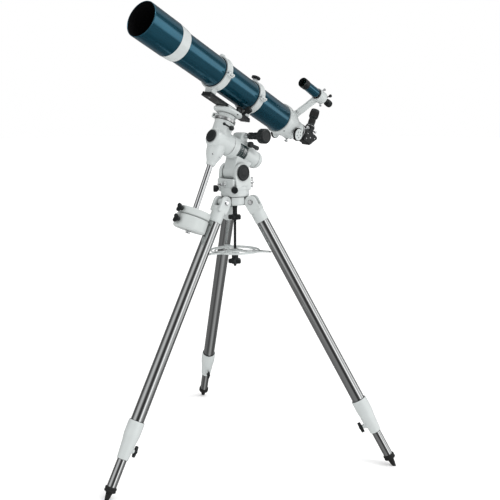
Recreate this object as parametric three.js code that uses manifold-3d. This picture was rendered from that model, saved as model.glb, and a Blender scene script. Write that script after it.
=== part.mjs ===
// A 4-inch class refractor telescope on a German equatorial mount and a three-leg tripod.
// Millimetres, +Z up, the floor is Z = 0 and the tube looks towards -Y. The sizes below count from the
// tripod's axis, and the last lines move the whole so that the origin is the middle of the footprint.
import * as THREE from 'three';
import { mergeVertices } from 'three/addons/utils/BufferGeometryUtils.js';
import Module from 'manifold-3d';

const wasm = await Module();
wasm.setup();

// ---- Driving dimensions -------------------------------------------------------------------
const FIT = 0.3;                 // gap between neighbouring pieces
const ROUNDNESS = 0.4;           // share of the sides asked for below that a round piece gets

const FOOTPRINT_SHIFT = 58.8;    // moves everything along Y so that the footprint is centred

const LEG_SPREAD = 29.56;        // degrees from vertical
const HINGE_RADIUS = 63;         // leg hinge, from the tripod's axis
const HINGE_HEIGHT = 947;
const LEG_AZIMUTHS = [270, 30, 150];
const LEG_TUBE_R = 22.9;
const LEG_EXTENSION_R = 16.3;
const LEG_LENGTH = HINGE_HEIGHT / Math.cos(THREE.MathUtils.degToRad(LEG_SPREAD));
const CLAMP_TOP = 278;           // distances measured up the leg from the tip of the foot
const CLAMP_BOTTOM = 144;
const FOOT_TOP = 48;
const BRACKET_BOTTOM = -79;      // below the hinge, along the leg

const HUB_RADIUS = 50;
const HUB_BOTTOM = 934;
const HUB_TOP = 966;
const ROD_R = 5;
const ROD_BOTTOM = 711;
const TRAY_HEIGHT = 766;
const TRAY_RADIUS = 90;
const TRAY_ARM_REACH = 135.5;

const BASE_RADIUS = 51.5;
const PIVOT_Y = -4;              // latitude pivot
const PIVOT_Z = 1050;
const ALTITUDE = 23.08;          // degrees that the polar axis is raised at rest
const HEAD_Y = -78;              // where the polar axis and the declination axis cross
const HEAD_Z = 1164.3;
const RA_REST = 3;               // small turns from the parked position, degrees
const DEC_REST = 5.5;

const OTA_HEIGHT = 194;          // tube axis above the crossing, along the declination axis
const TUBE_R = 52;
const TUBE_WALL = 1.8;
const DEW_R = 58.4;
const RING_R = 60;
const RING_WIDTH = 28;
const RING_FRONT = 111;          // distances ahead of the declination axis
const RING_REAR = -80.5;
const DEW_FRONT = 483;
const CELL_FRONT = 354;
const CELL_REAR = 312;
const CASTING_FRONT = -268;
const CASTING_REAR = -395;
const DRAWTUBE_R = 26;
const PINION_L = -342;
const PINION_U = -31.6;

// ---- Materials ----------------------------------------------------------------------------
const paint = (color, roughness, metalness) => () =>
  new THREE.MeshStandardMaterial({ color, roughness, metalness });
const WHITE = paint(0xe8eae9, 0.35, 0.0);
const BLUE = paint(0x1a4560, 0.22, 0.35);
const BLACK = paint(0x17191b, 0.45, 0.0);
const SATIN_BLACK = paint(0x202326, 0.4, 0.3);
const CHROME = paint(0xc8cccf, 0.12, 1.0);
const STEEL = paint(0xa9adb0, 0.25, 1.0);
const RUBBER = paint(0x141415, 0.8, 0.0);
const GLASS = paint(0x9db6bd, 0.05, 0.0);

// ---- Solids -------------------------------------------------------------------------------
const rad = THREE.MathUtils.degToRad;

function toSolid(geometry, at = [0, 0, 0], turn = [0, 0, 0]) {
  const placed = geometry.clone();
  const euler = new THREE.Euler(rad(turn[0]), rad(turn[1]), rad(turn[2]), 'ZYX');
  placed.applyMatrix4(new THREE.Matrix4().makeRotationFromEuler(euler));
  placed.translate(at[0], at[1], at[2]);
  placed.deleteAttribute('normal');
  placed.deleteAttribute('uv');
  const merged = mergeVertices(placed, 1e-4);
  const p = merged.attributes.position.array;
  const triangles = [];
  let volume = 0;
  const vertex = (i) => new THREE.Vector3(p[3 * i], p[3 * i + 1], p[3 * i + 2]);
  const index = merged.index.array;
  for (let i = 0; i < index.length; i += 3) {
    const [a, b, c] = [index[i], index[i + 1], index[i + 2]];
    if (a !== b && b !== c && c !== a) {
      triangles.push(a, b, c);
      volume += vertex(a).dot(vertex(b).cross(vertex(c)));
    }
  }
  if (volume < 0) triangles.reverse();
  return new wasm.Manifold(new wasm.Mesh({
    numProp: 3,
    vertProperties: new Float32Array(p),
    triVerts: new Uint32Array(triangles),
  }));
}

const sidesOf = (sides) => Math.max(8, 2 * Math.round((sides * ROUNDNESS) / 2));

// Turned piece about +Z. The profile lists [radius, z] and starts and ends on the axis.
function turned(profile, sides = 32, at, turn) {
  const points = profile.map(([r, z]) => new THREE.Vector2(r, z));
  const geometry = new THREE.LatheGeometry(points, sidesOf(sides)).rotateX(Math.PI / 2);
  return toSolid(geometry, at, turn);
}

// Turned ring about +Z: the profile goes once round and closes on itself.
const turnedRing = (profile, sides, at, turn) => turned([...profile, profile[0]], sides, at, turn);

const rod = (radius, z0, z1, sides = 24, at, turn) =>
  turned([[0, z0], [radius, z0], [radius, z1], [0, z1]], sides, at, turn);

// The tool for a round hole: its flats lie at the radius, so a shaft of that radius turns in it.
const hole = (radius, z0, z1, sides = 24, at, turn) =>
  rod(radius / Math.cos(Math.PI / sidesOf(sides)), z0, z1, sides, at, turn);

// A rod with both ends chamfered.
const softRod = (radius, z0, z1, chamfer, sides = 24, at, turn) => turned([
  [0, z0], [radius - chamfer, z0], [radius, z0 + chamfer],
  [radius, z1 - chamfer], [radius - chamfer, z1], [0, z1],
], sides, at, turn);

const tube = (outer, inner, z0, z1, sides = 32, at, turn) =>
  turnedRing([[inner, z0], [outer, z0], [outer, z1], [inner, z1]], sides, at, turn);

// Box from one corner to the other.
function box(low, high, at, turn) {
  const size = high.map((v, i) => v - low[i]);
  const middle = high.map((v, i) => (v + low[i]) / 2);
  return toSolid(new THREE.BoxGeometry(...size).translate(...middle), at, turn);
}

const ball = (radius, at, sides = 12) => toSolid(new THREE.SphereGeometry(radius, sides, sides / 2), at);

// A flat outline in X and Y, extruded along Z from z0 to z1.
function plate(outline, z0, z1, at, turn) {
  const shape = outline instanceof THREE.Shape
    ? outline
    : new THREE.Shape(outline.map(([x, y]) => new THREE.Vector2(x, y)));
  const geometry = new THREE.ExtrudeGeometry(shape, {
    depth: z1 - z0, bevelEnabled: false, curveSegments: 5,
  }).translate(0, 0, z0);
  return toSolid(geometry, at, turn);
}

const join = (...solids) => solids.reduce((a, b) => a.add(b));
const cut = (solid, ...tools) => tools.reduce((a, b) => a.subtract(b), solid);

function piece(name, solid, material) {
  const made = solid.getMesh();
  const geometry = new THREE.BufferGeometry();
  geometry.setAttribute('position', new THREE.BufferAttribute(made.vertProperties, 3));
  geometry.setIndex(new THREE.BufferAttribute(made.triVerts, 1));
  geometry.computeVertexNormals();
  const mesh = new THREE.Mesh(geometry, material());
  mesh.name = name;
  return mesh;
}

function frame(parent, at = [0, 0, 0], turn = [0, 0, 0]) {
  const group = new THREE.Group();
  group.position.set(...at);
  group.rotation.set(rad(turn[0]), rad(turn[1]), rad(turn[2]), 'ZYX');
  parent.add(group);
  return group;
}

// A star-shaped hand knob about +Z, with lobes round a hub.
function starKnob(radius, lobes, z0, z1, lobeRadius, sides = 10) {
  let solid = rod(radius - lobeRadius * 0.75, z0, z1, 24);
  for (let i = 0; i < lobes; i += 1) {
    const angle = (i / lobes) * 2 * Math.PI;
    const r = radius - lobeRadius;
    solid = solid.add(softRod(lobeRadius, z0, z1, 1.5, sides, [
      r * Math.cos(angle), r * Math.sin(angle), 0,
    ]));
  }
  return solid;
}

// A round hand knob about +Z with a toothed grip.
function fluted(radius, depth, teeth, z0, z1) {
  const outline = [];
  for (let i = 0; i < teeth * 2; i += 1) {
    const r = i % 2 ? radius - depth : radius;
    const angle = (i / (teeth * 2)) * 2 * Math.PI;
    outline.push([r * Math.cos(angle), r * Math.sin(angle)]);
  }
  return plate(outline, z0, z1);
}

const telescope = new THREE.Group();

// ---- Tripod hub ---------------------------------------------------------------------------
{
  const slotFloor = 37.5;
  const lugHalf = 12.8;
  let hub = turnedRing([
    [6.4, HUB_BOTTOM], [HUB_RADIUS - 5, HUB_BOTTOM], [HUB_RADIUS, HUB_BOTTOM + 6],
    [HUB_RADIUS, HUB_TOP - 3], [HUB_RADIUS - 3, HUB_TOP], [6.4, HUB_TOP],
  ], 48);
  for (const azimuth of LEG_AZIMUTHS) {
    const slot = box([slotFloor, -26, HUB_BOTTOM - 10], [90, 26, HUB_TOP + 5], [0, 0, 0], [0, 0, azimuth]);
    hub = hub.subtract(slot);
  }
  for (const azimuth of LEG_AZIMUTHS) {
    const lug = join(
      box([30, -lugHalf, HUB_BOTTOM + 2], [HINGE_RADIUS, lugHalf, HUB_TOP - 5.5]),
      rod(13.5, -lugHalf, lugHalf, 24, [HINGE_RADIUS, 0, HINGE_HEIGHT], [90, 0, 0]),
    );
    hub = hub.add(lug.rotate([0, 0, azimuth]));
  }
  // Upright peg over the north leg that the azimuth screws press against.
  hub = hub.add(box([-4.5, -43.5, HUB_TOP - 4], [4.5, -34.5, HUB_TOP + 21]));
  telescope.add(piece('tripod_hub', hub, WHITE));
}

// ---- Centre rod, its lock knob, the tray and the tray's knob ------------------------------
telescope.add(piece('center_rod', softRod(ROD_R, ROD_BOTTOM, 960, 1, 20), SATIN_BLACK));

const KNOB_BORE = ROD_R + FIT;
const rodBore = hole(KNOB_BORE, 600, 1000, 20);
{
  const knob = join(starKnob(25, 5, 882, 898, 8, 12), softRod(8.2, 896, 933.6, 1, 20));
  telescope.add(piece('mount_lock_knob', cut(knob, rodBore), BLACK));
}
{
  let tray = turnedRing([
    [KNOB_BORE + 0.3, TRAY_HEIGHT - 6], [16, TRAY_HEIGHT - 6], [16, TRAY_HEIGHT],
    [TRAY_RADIUS, TRAY_HEIGHT], [TRAY_RADIUS, TRAY_HEIGHT + 6],
    [TRAY_RADIUS - 3, TRAY_HEIGHT + 6], [TRAY_RADIUS - 3, TRAY_HEIGHT + 3],
    [14, TRAY_HEIGHT + 3], [14, TRAY_HEIGHT + 9], [KNOB_BORE + 0.3, TRAY_HEIGHT + 9],
  ], 64);
  for (const azimuth of LEG_AZIMUTHS) {
    const arm = plate([
      [70, -26], [98, -13], [112, -8.5], [128, -8.5], [TRAY_ARM_REACH, -5],
      [TRAY_ARM_REACH, 5], [128, 8.5], [112, 8.5], [98, 13], [70, 26],
    ], TRAY_HEIGHT, TRAY_HEIGHT + 5);
    tray = tray.add(arm.rotate([0, 0, azimuth]));
  }
  // Openings between the spokes, and a smaller slot in each spoke.
  const rounded = (r0, r1, half) => [-1, -0.5, 0, 0.5, 1].map((k) => [
    r1 * Math.cos(k * half), r1 * Math.sin(k * half),
  ]).concat([1, 0, -1].map((k) => [r0 * Math.cos(k * half), r0 * Math.sin(k * half)]));
  for (const azimuth of LEG_AZIMUTHS) {
    const window = plate(rounded(30, 72, rad(38)), TRAY_HEIGHT - 8, TRAY_HEIGHT + 8);
    tray = tray.subtract(window.rotate([0, 0, azimuth + 60]));
    const slot = plate(rounded(44, 66, rad(9)), TRAY_HEIGHT - 8, TRAY_HEIGHT + 8);
    tray = tray.subtract(slot.rotate([0, 0, azimuth]));
  }
  telescope.add(piece('accessory_tray', tray, WHITE));
}
{
  const knob = join(
    starKnob(25, 5, 721, 737, 8, 12),
    softRod(12, 736, TRAY_HEIGHT - 6 - FIT, 1, 20),
  );
  telescope.add(piece('tray_lock_knob', cut(knob, rodBore), BLACK));
}

// ---- Legs ---------------------------------------------------------------------------------
// In a leg's own frame the hinge is the origin, -Z runs down the leg and +X faces outwards.
const along = (distance) => distance - LEG_LENGTH;

function leg(number, azimuth) {
  const a = rad(azimuth);
  const at = [HINGE_RADIUS * Math.cos(a), HINGE_RADIUS * Math.sin(a), HINGE_HEIGHT];
  const group = frame(telescope, at, [0, -LEG_SPREAD, azimuth]);
  const earInner = 13.4;
  const earOuter = 24.6;

  const bracket = cut(
    join(
      softRod(23.5, -earOuter, earOuter, 1.5, 32, [0, 0, 0], [90, 0, 0]),
      box([-22.5, -earOuter, -30], [22.5, earOuter, 0]),
      rod(24.6, BRACKET_BOTTOM, -18, 32),
      rod(LEG_TUBE_R - 2.3, BRACKET_BOTTOM - 36, BRACKET_BOTTOM + 1, 32),
    ),
    box([-40, -earInner, -17.5], [40, earInner, 40]),
    // Keeps the leg's inner face clear of the hub when it folds.
    box([-40, -40, -34], [-24.4, 40, 30]),
  );
  group.add(piece(`leg_bracket_${number}`, bracket, WHITE));

  const tubeBottom = along(CLAMP_BOTTOM + 52);
  const upper = tube(LEG_TUBE_R, LEG_TUBE_R - 1.5, tubeBottom, BRACKET_BOTTOM - FIT, 32);
  group.add(piece(`leg_tube_${number}`, upper, CHROME));

  const top = along(CLAMP_TOP);
  const bottom = along(CLAMP_BOTTOM);
  const boreTube = LEG_TUBE_R + FIT;
  const boreExtension = LEG_EXTENSION_R + FIT;
  const clampBoss = bottom + 34;
  const clamp = cut(
    join(
      turned([
        [0, bottom], [18.2, bottom], [19.8, bottom + 3], [24.2, bottom + 62],
        [27.6, bottom + 80], [28, top - 3], [26.6, top], [0, top],
      ], 32),
      box([-27, -9, clampBoss - 12], [-10, 9, clampBoss + 38]),
      rod(8.5, -34, -12, 20, [0, 0, clampBoss], [0, 90, 0]),
    ),
    rod(boreTube, tubeBottom - FIT, top + 10, 32),
    rod(boreExtension, bottom - 10, tubeBottom + 1, 32),
    hole(3.6, -60, -12, 12, [0, 0, clampBoss], [0, 90, 0]),
  );
  group.add(piece(`leg_clamp_${number}`, clamp, WHITE));

  const knobFrame = frame(group, [0, 0, clampBoss], [0, -90, 0]);
  const wing = join(
    rod(3.2, LEG_EXTENSION_R + 1.2, 40, 12),
    softRod(7, 34.4, 47, 1.2, 16),
    plate([
      [-19, -3.2], [-17, -5], [-6, -4.4], [6, -4.4], [17, -5], [19, -3.2],
      [19, 3.2], [17, 5], [6, 4.4], [-6, 4.4], [-17, 5], [-19, 3.2],
    ], 36.5, 48),
  );
  knobFrame.add(piece(`leg_lock_knob_${number}`, wing, BLACK));

  const extensionTop = along(700);
  const extension = turnedRing([
    [LEG_EXTENSION_R - 1.5, along(FOOT_TOP + FIT)],
    [LEG_EXTENSION_R, along(FOOT_TOP + FIT)],
    [LEG_EXTENSION_R, extensionTop - 20],
    [LEG_TUBE_R - 2.1, extensionTop - 18],
    [LEG_TUBE_R - 2.1, extensionTop],
    [LEG_EXTENSION_R - 1.5, extensionTop],
  ], 32);
  group.add(piece(`leg_extension_${number}`, extension, CHROME));

  const foot = cut(
    turned([
      [0, -6], [5.5, -6], [6.5, 0], [10.5, 24], [13, 29], [18, 30], [20.4, 32], [20.4, 45],
      [18.4, FOOT_TOP], [LEG_EXTENSION_R - 1.5 - FIT, FOOT_TOP],
      [LEG_EXTENSION_R - 1.5 - FIT, FOOT_TOP + 26], [0, FOOT_TOP + 26],
    ].map(([r, z]) => [r, along(z)]), 28),
    // The floor: the tip is worn flat where the leg stands on it.
    box([-60, -60, -60], [60, 60, 0], [0, 0, -LEG_LENGTH], [0, LEG_SPREAD, 0]),
  );
  group.add(piece(`leg_foot_${number}`, foot, RUBBER));
}
LEG_AZIMUTHS.forEach((azimuth, i) => leg(i + 1, azimuth));

// ---- Mount base: azimuth drum and latitude fork -------------------------------------------
const CHEEK_IN = 30;
const CHEEK_OUT = 45;
const CHEEK_R = 33;
const POCKET_FLOOR = 1000;
const BOLT_Z = 1010;
const AZ_KNOB_Z = 992;
{
  const bottom = HUB_TOP + FIT;
  const cheek = (x0, x1) => plate([
    [-32, POCKET_FLOOR - 12], [38, POCKET_FLOOR - 12], [38, 1024], [30, 1046], ...arc(0, 180),
    [-39, 1036], [-36, 1008],
  ], x0, x1, [0, 0, 0], [90, 0, 90]);
  function arc(from, to) {
    const points = [];
    for (let i = 0; i <= 12; i += 1) {
      const angle = rad(from + ((to - from) * i) / 12);
      points.push([PIVOT_Y + CHEEK_R * Math.cos(angle), PIVOT_Z + CHEEK_R * Math.sin(angle)]);
    }
    return points;
  }
  let base = join(
    turned([
      [0, bottom], [BASE_RADIUS - 1.5, bottom], [BASE_RADIUS, bottom + 2],
      [BASE_RADIUS, 996], [BASE_RADIUS - 4, 1004], [0, 1004],
    ], 56),
    cheek(CHEEK_IN, CHEEK_OUT),
    cheek(-CHEEK_OUT, -CHEEK_IN),
    box([-CHEEK_OUT + 4, -50, 998], [CHEEK_OUT - 4, -38, 1030]),
    box([-CHEEK_OUT + 4, 30, 998], [CHEEK_OUT - 4, 42, 1022]),
    rod(10, -56, -40, 20, [0, 0, BOLT_Z], [90, 0, 180]),
    rod(10, 32, 54, 20, [0, 0, BOLT_Z], [-90, 0, 0]),
  );
  for (const angle of [225, 315]) {
    base = base.add(softRod(10.5, 40, 57, 1, 24, [0, 0, AZ_KNOB_Z], [0, 90, angle]));
  }
  base = cut(
    base,
    // Pocket between the cheeks, for the latitude tail.
    box([-CHEEK_IN, -38, POCKET_FLOOR], [CHEEK_IN, 30, 1080]),
    hole(4.6, -90, 90, 16, [0, 0, BOLT_Z], [90, 0, 0]),
    // Arc-shaped room for the azimuth peg, and the rod's bore.
    box([-13.5, -46.5, 950], [13.5, -31.5, HUB_TOP + 24]),
    hole(6.4, 950, 985, 20),
  );
  for (const angle of [225, 315]) {
    base = base.subtract(hole(3.5, 44, 90, 12, [0, 0, AZ_KNOB_Z], [0, 90, angle]));
    base = base.subtract(hole(13, 57, 90, 24, [0, 0, AZ_KNOB_Z], [0, 90, angle]));
  }
  telescope.add(piece('mount_base', base, WHITE));
}

for (const [name, angle] of [['azimuth_knob_left', 225], ['azimuth_knob_right', 315]]) {
  const knobFrame = frame(telescope, [0, 0, AZ_KNOB_Z], [0, 90, angle]);
  const knob = join(
    rod(3.2, 45, 60, 12),
    turned([[0, 57.4], [7, 57.4], [8, 60], [11.5, 62], [12.4, 65], [12, 74], [9, 77], [0, 77.6]], 24),
  );
  knobFrame.add(piece(name, knob, BLACK));
}

// T-handled latitude screws. Each one's frame has +Z along the screw, out of the base.
for (const [name, side, tip, reach, barTurn] of [
  ['latitude_screw_front', -1, 9.5, 66, 90], ['latitude_screw_rear', 1, 9.5, 88, 0],
]) {
  const screwFrame = frame(telescope, [0, 0, BOLT_Z], [side < 0 ? 90 : -90, 0, 0]);
  const start = side < 0 ? -PIVOT_Y + tip : PIVOT_Y + tip;
  const bar = join(
    rod(2.4, -15, 15, 12, [0, 0, reach], [90, 0, 0]),
    ball(3.8, [0, 16, reach], 8),
    ball(3.8, [0, -16, reach], 8),
  ).rotate([0, 0, barTurn]);
  const screw = join(rod(4.2, start, reach, 16), softRod(5.6, reach - 6, reach + 5, 1, 16), bar);
  screwFrame.add(piece(name, screw, CHROME));
}

{
  const cap = turned([
    [0, 0], [26.5, 0], [28.4, 1.5], [28.4, 4], [26, 6.2], [12, 7.4], [0, 7.6],
  ], 40);
  frame(telescope, [CHEEK_OUT + FIT, PIVOT_Y, PIVOT_Z], [0, 90, 0])
    .add(piece('latitude_pivot_cap', cap, BLACK));
}

// ---- Polar head: +Y runs back along the polar axis, +Z is square to it --------------------
const polar = frame(telescope, [0, HEAD_Y, HEAD_Z], [-ALTITUDE, 0, 0]);
// The latitude pivot seen in that frame.
const offset = new THREE.Vector2(PIVOT_Y - HEAD_Y, PIVOT_Z - HEAD_Z)
  .rotateAround(new THREE.Vector2(0, 0), rad(ALTITUDE));
const LUG_Y = offset.x;
const LUG_Z = offset.y;
const WORM_Y = 95;
const WORM_Z = 54;
const RA_SEAM = 46;
// The right-ascension lock lever turns on a boss on the barrel's side.
const LOCK_Y = 112;
const LOCK_Z = 28;
{
  // The tail hangs straight down at rest, so it leans in the polar head's frame.
  const tailTurn = [ALTITUDE, 0, 0];
  const barrel = turned([
    [0, RA_SEAM + 1], [36, RA_SEAM + 1], [38.5, RA_SEAM + 4], [38.5, 112], [36, 118], [34.5, 150],
    [31.6, 186], [0, 186],
  ], 48, [0, 0, 0], [-90, 0, 0]);
  const lugSide = 29.4;
  const housing = cut(
    join(
      barrel,
      rod(29.5, -lugSide, lugSide, 32, [0, LUG_Y, LUG_Z], [0, 90, 0]),
      plate([
        [LUG_Y - 29, LUG_Z + 2], [LUG_Y + 29, LUG_Z + 2], [LUG_Y + 46, -24], [LUG_Y - 34, -24],
      ], -lugSide, lugSide, [0, 0, 0], [90, 0, 90]),
      box([-24, -7, -44], [24, 7, 0], [0, LUG_Y, LUG_Z], tailTurn),
      box([-24, WORM_Y - 17, 20], [24, WORM_Y + 17, WORM_Z + 5]),
      rod(12, -24, 24, 24, [0, WORM_Y, WORM_Z], [0, 90, 0]),
      rod(10, 22, 37, 20, [0, LOCK_Y, LOCK_Z], [0, 90, 0]),
    ),
    hole(4.8, -40, 40, 16, [0, WORM_Y, WORM_Z], [0, 90, 0]),
  );
  polar.add(piece('ra_housing', housing, WHITE));

  const cover = turned([
    [0, 0], [31.6, 0], [31.6, 5], [30, 13], [25.5, 21.5], [18, 27.5], [9, 30.4], [0, 31],
  ], 40);
  frame(polar, [0, 186 + FIT, 0], [-90, 0, 0]).add(piece('polar_rear_cover', cover, WHITE));

  const knob = join(
    rod(4.4, -20, 40, 16),
    softRod(8.6, 30, 44, 1.5, 20),
    softRod(12.5, 42, 96, 2, 20),
    fluted(26.4, 1.6, 20, 98, 124),
    turned([[0, 94], [18, 94], [24, 98.5], [24, 123.5], [21, 126.5], [0, 126.5]], 32),
  );
  frame(polar, [0, WORM_Y, WORM_Z], [0, 90, 0]).add(piece('ra_slow_motion_knob', knob, BLACK));

  // Lock lever: a boss on the side of the barrel, with an arm that rises along it.
  const lever = join(
    softRod(11, 37.4, 50, 1.5, 24),
    plate([[-6, 0], [6, 0], [8.5, 34], [6, 40], [-6, 40], [-8.5, 34]], 41, 49),
  );
  frame(polar, [0, LOCK_Y, LOCK_Z], [0, 90, 0]).add(piece('ra_lock_lever', lever, BLACK));
}

// ---- Declination head, turning on the polar axis ------------------------------------------
const head = frame(polar, [0, 0, 0], [0, RA_REST, 0]);
const SHAFT_R = 10;
const SHAFT_END = -333;
{
  const dec = turned([
    [0, -94], [14, -94], [15.6, -91], [17.5, -80], [26.5, -60], [30, -48], [33.5, -20],
    [34, 20], [34, 58], [35.5, 62], [35.5, 66], [0, 66],
  ], 44);
  const barrel = turned([
    [0, -36], [27, -36], [32, -33], [37, -22], [38.5, -8], [38.5, RA_SEAM - 2],
    [36.5, RA_SEAM], [0, RA_SEAM],
  ], 44, [0, 0, 0], [-90, 0, 0]);
  const housing = cut(
    join(
      dec, barrel,
      rod(9, 28, 39.6, 20, [0, 0, 46], [0, 90, 0]),
      // Worm box at the left, its axis along Y.
      box([-54, -20, 74], [-30, 20, 91]),
      rod(34, 60, 91.6, 40),
    ),
    hole(SHAFT_R + FIT, -100, -40, 28),
    hole(4.6, -30, 30, 14, [-43, 0, 82], [90, 0, 0]),
    // Groove that carries the setting circle.
    tube(60, 31.5, 66.5, 76, 40).subtract(box([-60, -60, 60], [-31.4, 60, 90])),
  );
  head.add(piece('dec_housing', housing, WHITE));

  // Setting circle, cut away where the worm box passes it.
  const circle = tube(36.8, 31.9, 66.8, 75.7, 48).subtract(box([-60, -60, 60], [-31, 60, 90]));
  head.add(piece('dec_setting_circle', circle, STEEL));

  const cap = turned([[0, 0], [20.6, 0], [22.2, 1.4], [22.2, 4.4], [19.6, 6], [0, 6.6]], 36);
  frame(head, [0, -36 - FIT, 0], [90, 0, 0]).add(piece('polar_front_cap', cap, BLACK));

  const lever = join(
    softRod(8.4, 39.9, 50, 1.2, 20),
    rod(3, 0, 34, 12, [0, 0, 45], [90, 0, 0]),
    ball(5.4, [0, -38, 45], 12),
  );
  const leverFrame = frame(head, [0, 0, 46], [0, 90, 0]);
  leverFrame.add(piece('dec_lock_lever', lever, BLACK));

  const knob = join(
    rod(4.2, -12, 34, 14),
    softRod(7, 20.4, 42, 1, 18),
    fluted(13, 1, 14, 42, 62),
    softRod(12, 41, 64, 1.5, 24),
  );
  frame(head, [-43, 0, 82], [-90, 0, 0]).add(piece('dec_slow_motion_knob', knob, BLACK));

  const shaft = join(
    softRod(SHAFT_R, SHAFT_END, -44, 1, 28),
    rod(5.2, SHAFT_END - 4, SHAFT_END + 1, 16),
    softRod(8, SHAFT_END - 8, SHAFT_END - 3, 1, 18),
  );
  head.add(piece('counterweight_shaft', shaft, CHROME));
}

// Counterweights: cast discs with a hand screw that grips the shaft.
const WEIGHT_R = 57.5;
for (const [suffix, low, high] of [['lower', -331, -283], ['upper', -282.4, -256]]) {
  const middle = (low + high) / 2;
  const weight = cut(
    turned([
      [0, low], [WEIGHT_R - 5, low], [WEIGHT_R, low + 5], [WEIGHT_R, high - 3],
      [WEIGHT_R - 3, high], [0, high],
    ], 48),
    hole(SHAFT_R + FIT, low - 5, high + 5, 28),
    hole(4.4, -80, -4, 14, [0, 0, middle], [-90, 0, 0]),
  );
  head.add(piece(`counterweight_${suffix}`, weight, WHITE));
  const knob = join(
    rod(4, SHAFT_R + 1.2, 62, 12),
    softRod(8, WEIGHT_R + FIT, 66, 1, 18),
    starKnob(16, 3, 64, 74, 5.4, 10),
  );
  frame(head, [0, 0, middle], [90, 0, 0]).add(piece(`counterweight_knob_${suffix}`, knob, BLACK));
}

// ---- Saddle, dovetail bar, rings and tube, turning on the declination axis -----------------
const dec = frame(head, [0, 0, 0], [0, 0, DEC_REST]);
const SADDLE_LOW = 92;
const SADDLE_TOP = 107;
const BAR_TOP = 121.5;
const BAR_HALF = 21;
{
  const saddle = join(
    turned([
      [0, SADDLE_LOW], [34, SADDLE_LOW], [44, SADDLE_LOW + 3], [52, SADDLE_LOW + 7],
      [52, SADDLE_TOP - 1.5], [50.5, SADDLE_TOP], [0, SADDLE_TOP],
    ], 52),
    box([BAR_HALF + FIT, -36, SADDLE_TOP - 2], [BAR_HALF + 10, 36, SADDLE_TOP + 9]),
    box([-BAR_HALF - 10, -36, SADDLE_TOP - 2], [-BAR_HALF - FIT, 36, SADDLE_TOP + 9]),
  );
  dec.add(piece('dec_saddle', saddle, WHITE));
  const bar = plate([
    [-BAR_HALF, SADDLE_TOP + FIT], [BAR_HALF, SADDLE_TOP + FIT], [BAR_HALF, 114], [18, BAR_TOP],
    [-18, BAR_TOP], [-BAR_HALF, 114],
  ], -100, 128, [0, 0, 0], [90, 0, 0]);
  dec.add(piece('dovetail_bar', bar, SATIN_BLACK));
}

// From here +Y is backwards along the tube, +Z is up from the bar and the tube's axis is Y.
const ota = frame(dec, [0, 0, OTA_HEIGHT]);
const PIN_X = 66.5;
const alongTube = [90, 0, 0];      // turns a piece about +Z so that +Z becomes forwards
function ring(name, middle) {
  const bore = TUBE_R + 0.5;
  const half = RING_WIDTH / 2;
  const group = frame(ota, [0, -middle, 0]);
  const hoop = tube(RING_R, bore, -half, half, 56, [0, 0, 0], alongTube);
  const lowerSpace = box([-90, -30, -90], [90, 30, -0.25]);
  const upperSpace = box([-90, -30, 0.25], [90, 30, 90]);
  const knuckle = (y0, y1) => rod(5, y0, y1, 16, [PIN_X, 0, 0], [-90, 0, 0]);
  const room = (y0, y1) => rod(5.6, y0, y1, 16, [PIN_X, 0, 0], [-90, 0, 0]);
  const lower = join(
    cut(
      join(
        hoop.intersect(lowerSpace),
        box([58, -half, -9], [PIN_X, half, -0.25]),
        box([-74, -9, -9], [-58, 9, -0.25]),
        cut(box([-16, -12, BAR_TOP - OTA_HEIGHT + FIT], [16, 12, -50]),
          rod(RING_R - 1, -40, 40, 56, [0, 0, 0], alongTube)),
      ),
      room(-5.7, 5.7),
    ),
    knuckle(-half, -5.7), knuckle(5.7, half),
  );
  group.add(piece(`${name}_lower`, lower, WHITE));
  const boss = rod(9, RING_R - 3, RING_R + 6, 20);
  const upper = join(
    cut(
      join(
        hoop.intersect(upperSpace),
        box([58, -half, 0.25], [PIN_X, half, 9]),
        box([-74, -9, 0.25], [-58, 9, 9]),
        boss,
      ),
      room(-half - 1, -5.1), room(5.1, half + 1),
    ),
    knuckle(-5.1, 5.1),
  );
  group.add(piece(`${name}_upper`, upper, WHITE));
}
ring('ring_front', RING_FRONT);
ring('ring_rear', RING_REAR);

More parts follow.
